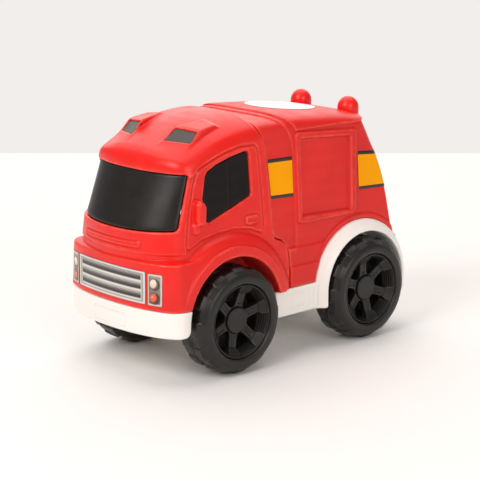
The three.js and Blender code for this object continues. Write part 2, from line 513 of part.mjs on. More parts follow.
// ---------------------------------------------------------------- running gear
const keeperAt = (ya) => {
  let k = box(-28, 28, ya - 10.6, ya + 10.6, AXLE_Z + 0.2, AXLE_Z + 4.6);
  k = k.subtract(rodX(AXLE_R + 0.35, -60, 60, ya, AXLE_Z, 20));
  for (const s of [-1, 1]) k = k.subtract(rodZ(1.75, AXLE_Z - 1, AXLE_Z + 8, 0, ya + s * POST_Y, 10));
  return k;
};
const axleAt = (ya) => rodX(AXLE_R, -57.4, 57.4, ya, AXLE_Z, 12);

// tyre: 12 blocks per band, inner band staggered by half a pitch
function tyreGeometry() {
  const half = (0.27 * 2 * Math.PI) / LUGS;
  const vr = TYRE_FLAT_R / Math.cos(half);
  const bore = (RIM_R + GAP) / Math.cos(half);
  const groove = 36.2;
  // [x, radius on a block, radius between blocks, band twist]
  const prof = [
    [40.2, bore, bore, 0.5], [TYRE_IN_X, 28.6, 28.6, 1], [TYRE_IN_X + 0.4, 34.2, 34.0, 1], [40.8, 37.2, groove, 1],
    [50.0, 37.9, groove, 1], [52.6, groove, groove - 0.4, 0.5], [55.0, vr, groove, 0], [62.8, vr, groove, 0],
    [65.6, 34.6, 34.2, 0], [WHEEL_OUT_X, 31.0, 31.0, 0], [65.6, bore, bore, 0.5],
  ];
  const st = [];
  for (let l = 0; l < LUGS; l++) for (const [f, on] of [[-0.27, 1], [0.27, 1], [0.36, 0], [0.64, 0]]) st.push([l + f, on]);
  const v = [];
  const idx = [];
  const n = prof.length;
  for (const [f, on] of st) {
    for (const [x, r1, r0, tw] of prof) {
      const a = ((f + 0.5 * tw) / LUGS) * 2 * Math.PI - Math.PI / 2;
      const r = on ? r1 : r0;
      v.push(x, r * Math.cos(a), r * Math.sin(a));
    }
  }
  const m = st.length;
  for (let i = 0; i < m; i++) {
    for (let j = 0; j < n; j++) {
      const a = i * n + j;
      const b = i * n + ((j + 1) % n);
      const c = ((i + 1) % m) * n + ((j + 1) % n);
      const d = ((i + 1) % m) * n + j;
      idx.push(a, b, c, a, c, d);
    }
  }
  const g = new THREE.BufferGeometry();
  g.setAttribute('position', new THREE.Float32BufferAttribute(v, 3));
  g.setIndex(idx);
  let s = solid(g);
  if (s.volume() < 0) {
    const rev = [];
    for (let i = 0; i < idx.length; i += 3) rev.push(idx[i], idx[i + 2], idx[i + 1]);
    g.setIndex(rev);
    s = solid(g);
  }
  return geometryOf(s);
}

// rim: barrel, closed back web, six spokes with flared ends, hub ring
function rimGeometry() {
  let r = latheX([[RIM_R - 2.4, 40.6], [RIM_R, 40.6], [RIM_R, 65.4], [RIM_R - 2.0, 65.6], [RIM_R - 2.5, 62.2], [23.0, 61.8], [23.0, 59.2], [RIM_R - 2.4, 59.0]], 0, 0, 24);
  // closed web at the back of the rim
  r = r.add(latheX([[1, 44], [RIM_R - 1, 44], [RIM_R - 1, 46], [1, 46]], 0, 0, 24));
  const spoke = [[-3.4, 6], [3.4, 6], [3.0, 16.6], [5.4, 21.4], [5.0, 24.0], [-5.0, 24.0], [-5.4, 21.4], [-3.0, 16.6]];
  const sp = prismX(spoke, 55.4, 60.8);
  for (let i = 0; i < 6; i++) r = r.add(sp.rotate([60 * i, 0, 0]));
  r = r.add(latheX([[1, 44], [6.2, 44], [6.2, 55.4], [11.0, 56.4], [11.0, 60.2], [1, 60.2]], 0, 0, 16));
  r = r.subtract(rodX(9.9, 57.8, 70, 0, 0, 18)).subtract(rodX(AXLE_R + 0.15, 30, 70, 0, 0, 12));
  return geometryOf(r.simplify(0.03));
}
const hubCapGeometry = () => geometryOf(latheZ([[0, 58.1], [9.4, 58.1], [9.4, 59.8], [8.4, 60.5], [0, 60.6]], 0, 0, 18).rotate([0, 90, 0]));

const tyreGeo = tyreGeometry();
const rimGeo = rimGeometry();
const capGeo = hubCapGeometry();

function screwSolid(headZ, len, headR, shankR, x, y) {
  // head down, shank up
  return rodZ(headR, headZ - 1.7, headZ, x, y, 10).add(rodZ(shankR, headZ - 0.4, headZ + len, x, y, 8))
    .subtract(box(x - 0.45, x + 0.45, y - 1.7, y + 1.7, headZ - 2, headZ - 1.0))
    .subtract(box(x - 1.7, x + 1.7, y - 0.45, y + 0.45, headZ - 2, headZ - 1.0));
}
function keeperScrewSolid(x, y) {
  const z = AXLE_Z + 4.9;
  return rodZ(2.7, z, z + 1.7, x, y, 10).add(rodZ(1.15, PAN_BOTTOM + 3.2, z + 0.4, x, y, 8))
    .subtract(box(x - 0.45, x + 0.45, y - 1.7, y + 1.7, z + 1.0, z + 2))
    .subtract(box(x - 1.7, x + 1.7, y - 0.45, y + 0.45, z + 1.0, z + 2));
}

// ---------------------------------------------------------------- assembly
const mats = {
  red: new THREE.MeshStandardMaterial({ color: 0xd92c22, roughness: 0.38, metalness: 0 }),
  white: new THREE.MeshStandardMaterial({ color: 0xf0ebe4, roughness: 0.42, metalness: 0 }),
  black: new THREE.MeshStandardMaterial({ color: 0x1f1b1a, roughness: 0.35, metalness: 0 }),
  tyre: new THREE.MeshStandardMaterial({ color: 0x2b2a29, roughness: 0.55, metalness: 0 }),
  rim: new THREE.MeshStandardMaterial({ color: 0x302f2e, roughness: 0.6, metalness: 0 }),
  grey: new THREE.MeshStandardMaterial({ color: 0x78736e, roughness: 0.5, metalness: 0 }),
  silver: new THREE.MeshStandardMaterial({ color: 0xc8c2ba, roughness: 0.4, metalness: 0.1 }),
  orange: new THREE.MeshStandardMaterial({ color: 0xff9b00, roughness: 0.4, metalness: 0 }),
  paper: new THREE.MeshStandardMaterial({ color: 0xf7f5f2, roughness: 0.4, metalness: 0 }),
  steel: new THREE.MeshStandardMaterial({ color: 0xb8bcc0, roughness: 0.3, metalness: 1 }),
};

const truck = new THREE.Group();
truck.name = 'toy_fire_truck';
function put(parent, name, man, mat) {
  const geo = man.isBufferGeometry ? man : geometryOf(man.simplify(0.03));
  const m = new THREE.Mesh(geo, mat.clone());
  m.name = name;
  parent.add(m);
  return m;
}
const body = new THREE.Group();
truck.add(body);
put(body, 'chassis_pan', pan, mats.white);
put(body, 'cab_shell', cab, mats.red);
put(body, 'rear_body_shell', rear, mats.red);
put(body, 'windscreen_insert', windscreen, mats.black);
put(body, 'side_window_left', sideWindow, mats.black);
put(body, 'side_window_right', mirrorX(sideWindow), mats.black);
put(body, 'roof_lamp_lens_left', lensSolid, mats.grey);
put(body, 'roof_lamp_lens_right', mirrorX(lensSolid), mats.grey);
put(body, 'grille_label', grille, mats.silver);
put(body, 'headlamp_label_left', lamp, mats.silver);
put(body, 'headlamp_label_right', mirrorX(lamp), mats.silver);
put(body, 'beacon_left', beacon, mats.red);
put(body, 'beacon_right', mirrorX(beacon), mats.red);
put(body, 'roof_roundel_label', roundel, mats.paper);
put(body, 'stripe_label_front_left', stripeFront, mats.orange);
put(body, 'stripe_label_front_right', mirrorX(stripeFront), mats.orange);
put(body, 'stripe_label_rear_left', stripeRear, mats.orange);
put(body, 'stripe_label_rear_right', mirrorX(stripeRear), mats.orange);
put(body, 'front_axle_keeper', keeperAt(FRONT_AXLE_Y), mats.white);
put(body, 'rear_axle_keeper', keeperAt(REAR_AXLE_Y), mats.white);
let ks = 0;
for (const ya of [FRONT_AXLE_Y, REAR_AXLE_Y]) for (const s of [-1, 1]) put(body, `keeper_screw_${++ks}`, keeperScrewSolid(0, ya + s * POST_Y), mats.steel);
CUPS.forEach(([x, y, z0], i) => put(body, `body_screw_${i + 1}`, screwSolid(z0 + 3.5, 11.5, 2.8, 1.4, x, sy(y)), mats.steel));

// each axle turns with its two wheels pressed on
function axleSet(end, ya, spokeDeg) {
  const g = new THREE.Group();
  put(g, `${end}_axle`, axleAt(0).translate([0, 0, -AXLE_Z]), mats.steel);
  for (const [side, turn] of [['left', 0], ['right', Math.PI]]) {
    const w = new THREE.Group();
    w.rotation.z = turn;
    put(w, `tyre_${end}_${side}`, tyreGeo, mats.tyre);
    const rim = put(w, `wheel_${end}_${side}`, rimGeo, mats.rim);
    rim.rotation.x = (spokeDeg * Math.PI) / 180;
    put(w, `hub_cap_${end}_${side}`, capGeo, mats.rim);
    g.add(w);
  }
  g.position.set(0, ya, AXLE_Z);
  truck.add(g);
}
axleSet('front', FRONT_AXLE_Y, -14);
axleSet('rear', REAR_AXLE_Y, 10);

export default truck;
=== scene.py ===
import math

import bpy
import numpy as np
from mathutils import Matrix, Vector


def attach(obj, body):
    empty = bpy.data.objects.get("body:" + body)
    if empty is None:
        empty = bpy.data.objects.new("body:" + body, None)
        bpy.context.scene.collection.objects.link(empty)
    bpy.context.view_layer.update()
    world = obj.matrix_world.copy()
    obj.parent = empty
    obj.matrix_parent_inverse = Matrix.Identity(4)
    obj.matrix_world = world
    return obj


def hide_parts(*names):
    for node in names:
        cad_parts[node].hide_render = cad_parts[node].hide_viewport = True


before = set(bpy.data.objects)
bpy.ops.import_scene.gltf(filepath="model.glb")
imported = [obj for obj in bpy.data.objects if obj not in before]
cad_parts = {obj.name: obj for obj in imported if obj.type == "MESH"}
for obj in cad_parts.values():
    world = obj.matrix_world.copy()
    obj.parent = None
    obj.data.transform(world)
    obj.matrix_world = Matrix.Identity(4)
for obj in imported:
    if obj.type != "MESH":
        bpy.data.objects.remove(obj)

bpy.context.view_layer.update()

# ------------------------------------------------------------------ dimensions (mm)
FRONT_AXLE_Y = -56.5
WHEELBASE = 129.3
AXLE_Z = 38.0
WALL = 2.5
GAP = 0.3
WELL_RF, WELL_RR = 42.0, 39.4
WELL_ZF, WELL_ZR = 40.8, 41.2
WELL_IN_X = 35.0
FLARE_R = 47.8
PAN_TOP = 49.4
BODY_BOTTOM = 49.7
PAN_BOTTOM = 29.5
BUMPER_BOTTOM = 33.7
SILL_X = 55.2
H = 0.72       # grid pitch of the body shells

# ------------------------------------------------------------------ camera, lights, stage
scene = bpy.context.scene
AZ, EL = math.radians(47.617), math.radians(13.496)
cam = bpy.data.objects.new("camera", bpy.data.cameras.new("camera"))
scene.collection.objects.link(cam)
cam.location = (0.8593, -0.7835, 0.3545)
look = Vector((-math.sin(AZ) * math.cos(EL), math.cos(AZ) * math.cos(EL), -math.sin(EL)))
cam.rotation_mode = "QUATERNION"
cam.rotation_quaternion = look.to_track_quat("-Z", "Y")
cam.data.sensor_width = 36.0
cam.data.lens = 121.97
cam.data.clip_start = 0.01
scene.camera = cam
scene.view_settings.view_transform = "Standard"
scene.view_settings.look = "None"


def area(name, loc, target, size, power, colour=(1, 1, 1)):
    d = bpy.data.lights.new(name, "AREA")
    d.shape = "RECTANGLE"
    d.size, d.size_y = size
    d.energy = power
    d.color = colour
    o = bpy.data.objects.new(name, d)
    scene.collection.objects.link(o)
    o.location = loc
    o.rotation_mode = "QUATERNION"
    o.rotation_quaternion = (Vector(target) - Vector(loc)).to_track_quat("-Z", "Y")
    return o


area("key", (0.1, -1.4, 1.15), (0, 0, 0.1), (0.9, 0.8), 15.0, (1.0, 0.970, 0.940))
area("top", (-0.4, 0.3, 1.5), (0, 0, 0.05), (1.9, 1.9), 18.6, (1.0, 0.970, 0.942))
area("back", (-1.25, 1.15, 0.80), (0, 0, 0.12), (2.6, 0.8), 11.0, (1.0, 0.955, 0.905))
area("fill", (1.45, -0.35, 0.75), (0, 0, 0.07), (0.9, 0.7), 7.6, (1.0, 0.97, 0.94))

world = bpy.data.worlds.new("studio")
scene.world = world
world.use_nodes = True
wn, wl = world.node_tree.nodes, world.node_tree.links
wn.clear()
w_out = wn.new("ShaderNodeOutputWorld")
w_bg = wn.new("ShaderNodeBackground")
w_tc = wn.new("ShaderNodeTexCoord")
w_sep = wn.new("ShaderNodeSeparateXYZ")
w_ramp = wn.new("ShaderNodeValToRGB")
w_map = wn.new("ShaderNodeMapRange")
w_map.inputs["From Min"].default_value = -1.0
w_map.inputs["From Max"].default_value = 1.0
wl.new(w_tc.outputs["Generated"], w_sep.inputs[0])
wl.new(w_sep.outputs["Z"], w_map.inputs["Value"])
wl.new(w_map.outputs[0], w_ramp.inputs[0])
wl.new(w_ramp.outputs[0], w_bg.inputs["Color"])
wl.new(w_bg.outputs[0], w_out.inputs["Surface"])
cr = w_ramp.color_ramp
cr.elements[0].position, cr.elements[0].color = 0.0, (0.885, 0.855, 0.835, 1)
cr.elements[1].position, cr.elements[1].color = 1.0, (0.30, 0.292, 0.285, 1)
e = cr.elements.new(0.46); e.color = (0.885, 0.855, 0.835, 1)
e = cr.elements.new(0.54); e.color = (0.28, 0.272, 0.265, 1)
w_bg.inputs["Strength"].default_value = 1.0


# ------------------------------------------------------------------ small numeric kit
def tab(table, smooth=0.0):
    """A table of [key, value] as a smooth function."""
    t = np.array(table, float)
    xs = np.arange(t[0, 0] - 30, t[-1, 0] + 30, 0.25)
    ys = np.interp(xs, t[:, 0], t[:, 1])
    lo, hi = xs < t[0, 0], xs > t[-1, 0]
    s0 = (t[1, 1] - t[0, 1]) / (t[1, 0] - t[0, 0])
    s1 = (t[-1, 1] - t[-2, 1]) / (t[-1, 0] - t[-2, 0])
    ys[lo] = t[0, 1] + (xs[lo] - t[0, 0]) * s0
    ys[hi] = t[-1, 1] + (xs[hi] - t[-1, 0]) * s1
    if smooth:
        k = np.arange(-int(4 * smooth / 0.25), int(4 * smooth / 0.25) + 1) * 0.25
        g = np.exp(-0.5 * (k / smooth) ** 2)
        g /= g.sum()
        ys = np.convolve(np.pad(ys, len(k) // 2, mode="edge"), g, "valid")
    return lambda v: np.interp(v, xs, ys).astype(np.float32)


def smin(a, b, k):
    h = np.maximum(k - np.abs(a - b), 0) / k
    return np.minimum(a, b) - h * h * k * 0.25


def smax(a, b, k):
    h = np.maximum(k - np.abs(a - b), 0) / k
    return np.maximum(a, b) + h * h * k * 0.25


def step(lo, hi, v):
    t = np.clip((v - lo) / (hi - lo), 0, 1)
    return t * t * (3 - 2 * t)


def sdf_poly(pts, p, q):
    """Signed distance from (p, q) to a closed outline, negative inside."""
    p, q = np.broadcast_arrays(np.asarray(p, np.float32), np.asarray(q, np.float32))
    d = np.full(p.shape, 1e9, np.float32)
    inside = np.zeros(p.shape, bool)
    n = len(pts)
    for i in range(n):
        ax, ay = pts[i]
        bx, by = pts[(i + 1) % n]
        ex, ey = bx - ax, by - ay
        wx, wy = p - ax, q - ay
        t = np.clip((wx * ex + wy * ey) / (ex * ex + ey * ey + 1e-12), 0, 1)
        dx, dy = wx - ex * t, wy - ey * t
        d = np.minimum(d, dx * dx + dy * dy)
        cond = (ay > q) != (by > q)
        xi = ax + (q - ay) * ex / (ey if abs(ey) > 1e-9 else 1e-9)
        inside ^= cond & (p < xi)
    d = np.sqrt(d)
    return np.where(inside, -d, d)


def line_dist(pts, p, q):
    """Signed distance to a polyline that runs upwards in q: positive on the larger-p side."""
    far = 400.0
    poly = [(pts[0][0], pts[0][1] - far)] + list(pts) + [(pts[-1][0], pts[-1][1] + far), (far, pts[-1][1] + far), (far, pts[0][1] - far)]
    return -sdf_poly(poly, p, q)


def rrect(cx, cy, w, h, r, p, q):
    dx, dy = np.abs(p - cx) - w / 2 + r, np.abs(q - cy) - h / 2 + r
    return np.hypot(np.maximum(dx, 0), np.maximum(dy, 0)) + np.minimum(np.maximum(dx, dy), 0) - r


class Grid:
    """A box of sample points. Half grids start half a pitch off the mirror plane."""

    def __init__(self, lo, hi, h, half=True):
        self.h, self.half = h, half
        n = [int(math.ceil((b - a) / h)) + 1 for a, b in zip(lo, hi)]
        self.lo = [h / 2 if half else lo[0], lo[1], lo[2]]
        if half:
            n[0] = int(math.ceil(hi[0] / h)) + 1
        ax = [self.lo[k] + h * np.arange(n[k]) for k in range(3)]
        self.x = ax[0].astype(np.float32)[:, None, None]
        self.n = ax[1].astype(np.float32)[None, :, None]
        self.z = ax[2].astype(np.float32)[None, None, :]

    def unit(self, G):
        """Turn a level function into an approximate distance."""
        gx, gy, gz = np.gradient(G, self.h)
        return (G / np.maximum(np.sqrt(gx * gx + gy * gy + gz * gz), 2e-3)).astype(np.float32)


class Field:
    def __init__(self, grid, F):
        self.h = grid.h
        lo = np.array(grid.lo, float)
        if grid.half:
            F = np.concatenate([F[::-1], F], 0)
            lo[0] = -(grid.lo[0] + (F.shape[0] // 2 - 1) * grid.h)
        self.F, self.lo = np.ascontiguousarray(F, dtype=np.float32), lo

    def at(self, p):
        g = (p - self.lo) / self.h
        s = self.F.shape
        i = np.clip(np.floor(g).astype(np.int64), 0, np.array(s) - 2)
        t = np.clip(g - i, 0, 1).astype(np.float32)
        flat = self.F.ravel()
        base = (i[..., 0] * s[1] + i[..., 1]) * s[2] + i[..., 2]
        out = 0
        for a in (0, 1):
            wa = t[..., 0] if a else 1 - t[..., 0]
            for b in (0, 1):
                wb = t[..., 1] if b else 1 - t[..., 1]
                for c in (0, 1):
                    wc = t[..., 2] if c else 1 - t[..., 2]
                    out = out + wa * wb * wc * flat[base + (a * s[1] + b) * s[2] + c]
        return out

    def grad(self, p, e=None):
        e = e or 0.6 * self.h
        g = np.empty(p.shape, np.float32)
        for k in range(3):
            d = np.zeros(3)
            d[k] = e
            g[..., k] = (self.at(p + d) - self.at(p - d)) / (2 * e)
        return g

    def bend(self, p, e=1.3):
        """Positive on outside edges, negative in creases."""
        s = -6 * self.at(p)
        for k in range(3):
            d = np.zeros(3)
            d[k] = e
            s = s + self.at(p + d) + self.at(p - d)
        return s / (e * e)

    def snap(self, p, steps=3, cap=0.7):
        q = p.copy()
        for _ in range(steps):
            g = self.grad(q)
            m = np.maximum((g * g).sum(-1), 0.2)
            q = q - (self.at(q) / m)[..., None] * g
            off = q - p
            length = np.linalg.norm(off, axis=-1)
            f = np.minimum(1, cap * self.h / np.maximum(length, 1e-9))
            q = p + off * f[..., None]
        return q

    def cast(self, start, direction, reach, n=70):
        """First surface point from start along direction."""
        ts = np.linspace(0, reach, n)
        d = np.asarray(direction, float)
        vals = np.stack([self.at(start + d * t) for t in ts], 0)
        neg = vals < 0
        k = np.argmax(neg, 0)
        k = np.where(neg.any(0), np.maximum(k, 1), n - 1)
        f1 = np.take_along_axis(vals, k[None], 0)[0]
        f0 = np.take_along_axis(vals, k[None] - 1, 0)[0]
        u = np.where(np.abs(f0 - f1) > 1e-9, f0 / (f0 - f1 + 1e-12), 0)
        t = ts[k - 1] + np.clip(u, 0, 1) * (ts[1] - ts[0])
        return start + d * t[..., None]


def surface_nets(field):
    F = field.F
    s = F < 0
    cnt = np.zeros(tuple(d - 1 for d in F.shape), np.uint8)
    for a in (0, 1):
        for b in (0, 1):
            for c in (0, 1):
                cnt += s[a:F.shape[0] - 1 + a, b:F.shape[1] - 1 + b, c:F.shape[2] - 1 + c]
    act = (cnt > 0) & (cnt < 8)
    ai = np.argwhere(act)
    idx = np.full(act.shape, -1, np.int64)
    idx[act] = np.arange(len(ai))
    pos = np.zeros((len(ai), 3))
    w = np.zeros(len(ai))
    for axis in range(3):
        o = [k for k in range(3) if k != axis]
        for b in (0, 1):
            for c in (0, 1):
                off = np.zeros(3, np.int64)
                off[o[0]], off[o[1]] = b, c
                c0 = ai + off
                c1 = c0.copy()
                c1[:, axis] += 1
                f0 = F[c0[:, 0], c0[:, 1], c0[:, 2]]
                f1 = F[c1[:, 0], c1[:, 1], c1[:, 2]]
                m = (f0 < 0) != (f1 < 0)
                t = f0[m] / (f0[m] - f1[m])
                p = c0[m].astype(float)
                p[:, axis] += t
                pos[m] += p
                w[m] += 1
    pos = field.lo + field.h * pos / w[:, None]
    quads = []
    for axis in range(3):
        u, v = (axis + 1) % 3, (axis + 2) % 3
        sl0 = [slice(1, -1)] * 3
        sl1 = [slice(1, -1)] * 3
        sl0[axis], sl1[axis] = slice(0, -1), slice(1, None)
        a, b = s[tuple(sl0)], s[tuple(sl1)]
        e = np.argwhere(a != b)
        if not len(e):
            continue
        inside = a[e[:, 0], e[:, 1], e[:, 2]]
        base = e + 1
        base[:, axis] -= 1

        def cell(du, dv):
            q = base.copy()
            q[:, u] += du
            q[:, v] += dv
            return idx[q[:, 0], q[:, 1], q[:, 2]]

        ring = np.stack([cell(-1, -1), cell(0, -1), cell(0, 0), cell(-1, 0)], 1)
        ring[~inside] = ring[~inside][:, ::-1]
        quads.append(ring)
    return pos, np.concatenate(quads)


def mesh_object(name, verts_mm, faces, mats, normals=None, attrs=None, face_mat=None, smooth=True):
    """verts in mm, stored in metres."""
    me = bpy.data.meshes.new(name)
    v = np.asarray(verts_mm, float) * 0.001
    f = np.asarray(faces, np.int64)
    k = f.shape[1]
    me.vertices.add(len(v))
    me.vertices.foreach_set("co", v.astype(np.float32).ravel())
    me.loops.add(f.size)
    me.loops.foreach_set("vertex_index", f.astype(np.int32).ravel())
    me.polygons.add(len(f))
    me.polygons.foreach_set("loop_start", (np.arange(len(f)) * k).astype(np.int32))
    me.polygons.foreach_set("loop_total", np.full(len(f), k, np.int32))
    if face_mat is not None:
        me.polygons.foreach_set("material_index", np.asarray(face_mat, np.int32))
    me.update(calc_edges=True)
    me.polygons.foreach_set("use_smooth", np.full(len(f), smooth))
    for m in mats:
        me.materials.append(m)
    ob = bpy.data.objects.new(name, me)
    scene.collection.objects.link(ob)
    for key, val in (attrs or {}).items():
        put_attr(me, key, val)
    if normals is not None:
        me.normals_split_custom_set_from_vertices([tuple(n) for n in normals])
    return ob


def put_attr(me, key, val):
    val = np.asarray(val, np.float32)
    if val.ndim == 2:
        a = me.attributes.new(key, "FLOAT_COLOR", "POINT")
        rgba = np.ones((len(val), 4), np.float32)
        rgba[:, :3] = val
        a.data.foreach_set("color", rgba.ravel())
    else:
        a = me.attributes.new(key, "FLOAT", "POINT")
        a.data.foreach_set("value", val)


def shell_piece(name, field, budget, mats, station=True, soft=None):
    """Skin a field as one closed mesh of at most budget triangles, with the field's own normals."""
    p, q = surface_nets(field)
    p = field.snap(p)
    tris = len(q) * 2
    ob = mesh_object(name + "_raw", p, q, [])
    if tris > budget:
        mod = ob.modifiers.new("thin", "DECIMATE")
        mod.ratio = budget / tris
        dg = bpy.context.evaluated_depsgraph_get()
        me = bpy.data.meshes.new_from_object(ob.evaluated_get(dg))
    else:
        me = ob.data.copy()
    me.calc_loop_triangles()
    co = np.empty(len(me.vertices) * 3, np.float32)
    me.vertices.foreach_get("co", co)
    co = co.reshape(-1, 3).astype(float) * 1000
    tri = np.empty(len(me.loop_triangles) * 3, np.int32)
    me.loop_triangles.foreach_get("vertices", tri)
    tri = tri.reshape(-1, 3)
    bpy.data.objects.remove(ob)
    bpy.data.meshes.remove(me)
    co = field.snap(co, steps=2, cap=0.5)
    g = field.grad(co, soft)
    g /= np.maximum(np.linalg.norm(g, axis=1), 1e-6)[:, None]
    bend = np.clip(field.bend(co), -2, 2)
    out = co.copy()
    if station:
        out[:, 1] += FRONT_AXLE_Y
    return mesh_object(name, out, tri, mats, normals=g, attrs={"bend": bend})


# ------------------------------------------------------------------ materials
def nodes_of(mat):
    return mat.node_tree.nodes, mat.node_tree.links


def math_node(nt, op, a, b=None, clamp=False):
    m = nt.nodes.new("ShaderNodeMath")
    m.operation = op
    m.use_clamp = clamp
    for i, v in enumerate((a, b)):
        if v is None:
            continue
        if isinstance(v, (int, float)):
            m.inputs[i].default_value = v
        else:
            nt.links.new(v, m.inputs[i])
    return m.outputs[0]


def mix_rgb(nt, fac, a, b, mode="MIX"):
    m = nt.nodes.new("ShaderNodeMix")
    m.data_type = "RGBA"
    m.blend_type = mode
    m.clamp_factor = True
    for sock, v in ((m.inputs[0], fac), (m.inputs[6], a), (m.inputs[7], b)):
        if isinstance(v, (int, float)):
            sock.default_value = v
        elif isinstance(v, tuple):
            sock.default_value = v if len(v) == 4 else (*v, 1)
        else:
            nt.links.new(v, sock)
    return m.outputs[2]


def noise(nt, co, scale, detail=2.0, rough=0.5, stretch=None):
    n = nt.nodes.new("ShaderNodeTexNoise")
    n.inputs["Scale"].default_value = scale
    n.inputs["Detail"].default_value = detail
    n.inputs["Roughness"].default_value = rough
    if stretch:
        mp = nt.nodes.new("ShaderNodeMapping")
        mp.inputs["Scale"].default_value = stretch
        mp.inputs["Rotation"].default_value = (0.4, 0.9, 0.3)
        nt.links.new(co, mp.inputs["Vector"])
        co = mp.outputs[0]
    nt.links.new(co, n.inputs["Vector"])
    return n.outputs["Fac"]


def ramp(nt, v, lo, hi, a=0.0, b=1.0):
    m = nt.nodes.new("ShaderNodeMapRange")
    m.interpolation_type = "SMOOTHSTEP"
    nt.links.new(v, m.inputs["Value"])
    for k, x in (("From Min", lo), ("From Max", hi), ("To Min", a), ("To Max", b)):
        m.inputs[k].default_value = x
    return m.outputs[0]


def plastic(name, colour, rough, grain=0.35, grain_scale=2600, mottle=0.05, wear=0.25, wear_and_highlight_colour=None, dust=0.0,
            dust_colour=(0.42, 0.38, 0.34), scuff=0.0, scuff_colour=(0.45, 0.36, 0.28), edge=0.25, subsurface=0.0, specular=0.5,
            paint=None, coat=0.0, crease_shade_and_dirt=0.35):
    """Moulded plastic: fine spark-eroded grain, slow colour drift, outside edges painted paler (painted highlight plus
    rubbing wear), creases painted darker (painted shade plus dirt), dust and a few scuffs.
    """
    mat = bpy.data.materials.new(name)
    mat.use_nodes = True
    nt = mat.node_tree
    bsdf = nt.nodes["Principled BSDF"]
    tc = nt.nodes.new("ShaderNodeTexCoord")
    co = tc.outputs["Object"]
    bend = nt.nodes.new("ShaderNodeAttribute")
    bend.attribute_name = "bend"
    b = bend.outputs["Fac"]
    if paint:
        at = nt.nodes.new("ShaderNodeAttribute")
        at.attribute_name = paint
        base = at.outputs["Color"]
    else:
        base = None
    drift = noise(nt, co, 22, 3)
    dark = tuple(c * (1 - mottle) for c in colour)
    light = tuple(min(1, c * (1 + mottle)) for c in colour)
    tone = mix_rgb(nt, ramp(nt, drift, 0.3, 0.7), dark, light)
    if base is not None:
        tone = mix_rgb(nt, 1.0, base, ramp_col(nt, drift, mottle), "MULTIPLY")
    # creases are painted darker (painted shade plus dirt), outside edges are painted paler (painted highlight plus
    # rubbing wear)
    crease_shade_mask = ramp(nt, b, -0.02, -0.55)
    rub_and_highlight = ramp(nt, b, 0.12, 0.75)
    wob = ramp(nt, noise(nt, co, 160, 3), 0.35, 0.65, 0.35, 1.0)
    if crease_shade_and_dirt:
        tone = mix_rgb(nt, math_node(nt, "MULTIPLY", crease_shade_mask, crease_shade_and_dirt), tone, tuple(c * 0.45 for c in colour) if base is None else (0.05, 0.04, 0.035), "MIX")
    if edge:
        wc = wear_and_highlight_colour or tuple(min(1, c * 1.15 + 0.04) for c in colour)
        tone = mix_rgb(nt, math_node(nt, "MULTIPLY", math_node(nt, "MULTIPLY", rub_and_highlight, wob), edge), tone, wc)
    if scuff:
        s1 = noise(nt, co, 55, 5, 0.65, stretch=(1.0, 0.25, 2.2))
        s2 = noise(nt, co, 18, 2)
        sc = math_node(nt, "MULTIPLY", ramp(nt, s1, 0.60, 0.74), ramp(nt, s2, 0.45, 0.65))
        tone = mix_rgb(nt, math_node(nt, "MULTIPLY", sc, scuff), tone, scuff_colour)
        hair = noise(nt, co, 420, 2, 0.5, stretch=(1.0, 0.035, 0.35))
        hs = math_node(nt, "MULTIPLY", ramp(nt, hair, 0.69, 0.74), ramp(nt, noise(nt, co, 30, 2), 0.5, 0.62))
        tone = mix_rgb(nt, math_node(nt, "MULTIPLY", hs, scuff * 0.8), tone, scuff_colour)
    if dust:
        d = math_node(nt, "MULTIPLY", ramp(nt, noise(nt, co, 900, 2), 0.55, 0.8), dust)
        tone = mix_rgb(nt, d, tone, dust_colour)
    nt.links.new(tone, bsdf.inputs["Base Color"])
    r = ramp(nt, noise(nt, co, 75, 4, 0.6), 0.25, 0.75, rough - 0.05, rough + 0.07)
    r = math_node(nt, "ADD", r, math_node(nt, "MULTIPLY", rub_and_highlight, -0.05), clamp=True)
    nt.links.new(r, bsdf.inputs["Roughness"])
    bump = nt.nodes.new("ShaderNodeBump")
    bump.inputs["Strength"].default_value = grain
    bump.inputs["Distance"].default_value = 0.00012
    fine = noise(nt, co, grain_scale, 2, 0.6)
    soft = noise(nt, co, 170, 2)
    height = math_node(nt, "ADD", math_node(nt, "MULTIPLY", fine, 0.6), math_node(nt, "MULTIPLY", soft, 1.4))
    nt.links.new(height, bump.inputs["Height"])
    nt.links.new(bump.outputs[0], bsdf.inputs["Normal"])
    bsdf.inputs["Specular IOR Level"].default_value = specular
    if coat:
        bsdf.inputs["Coat Weight"].default_value = coat
        bsdf.inputs["Coat Roughness"].default_value = 0.12
    if subsurface:
        bsdf.inputs["Subsurface Weight"].default_value = subsurface
        bsdf.inputs["Subsurface Radius"].default_value = (1.0, 0.35, 0.2)
        bsdf.inputs["Subsurface Scale"].default_value = 0.002
    return mat


def ramp_col(nt, v, mottle):
    m = nt.nodes.new("ShaderNodeMapRange")
    nt.links.new(v, m.inputs["Value"])
    m.inputs["From Min"].default_value, m.inputs["From Max"].default_value = 0.3, 0.7
    m.inputs["To Min"].default_value, m.inputs["To Max"].default_value = 1 - mottle, 1.0
    c = nt.nodes.new("ShaderNodeCombineColor")
    for k in range(3):
        nt.links.new(m.outputs[0], c.inputs[k])
    return c.outputs[0]


def steel(name, colour, rough):
    mat = bpy.data.materials.new(name)
    mat.use_nodes = True
    nt = mat.node_tree
    bsdf = nt.nodes["Principled BSDF"]
    co = nt.nodes.new("ShaderNodeTexCoord").outputs["Object"]
    n = noise(nt, co, 300, 3, 0.6, stretch=(0.2, 1, 1))
    nt.links.new(mix_rgb(nt, ramp(nt, n, 0.35, 0.7), tuple(c * 0.8 for c in colour), colour), bsdf.inputs["Base Color"])
    nt.links.new(ramp(nt, noise(nt, co, 900, 2), 0.3, 0.7, rough - 0.06, rough + 0.1), bsdf.inputs["Roughness"])
    bsdf.inputs["Metallic"].default_value = 1.0
    return mat


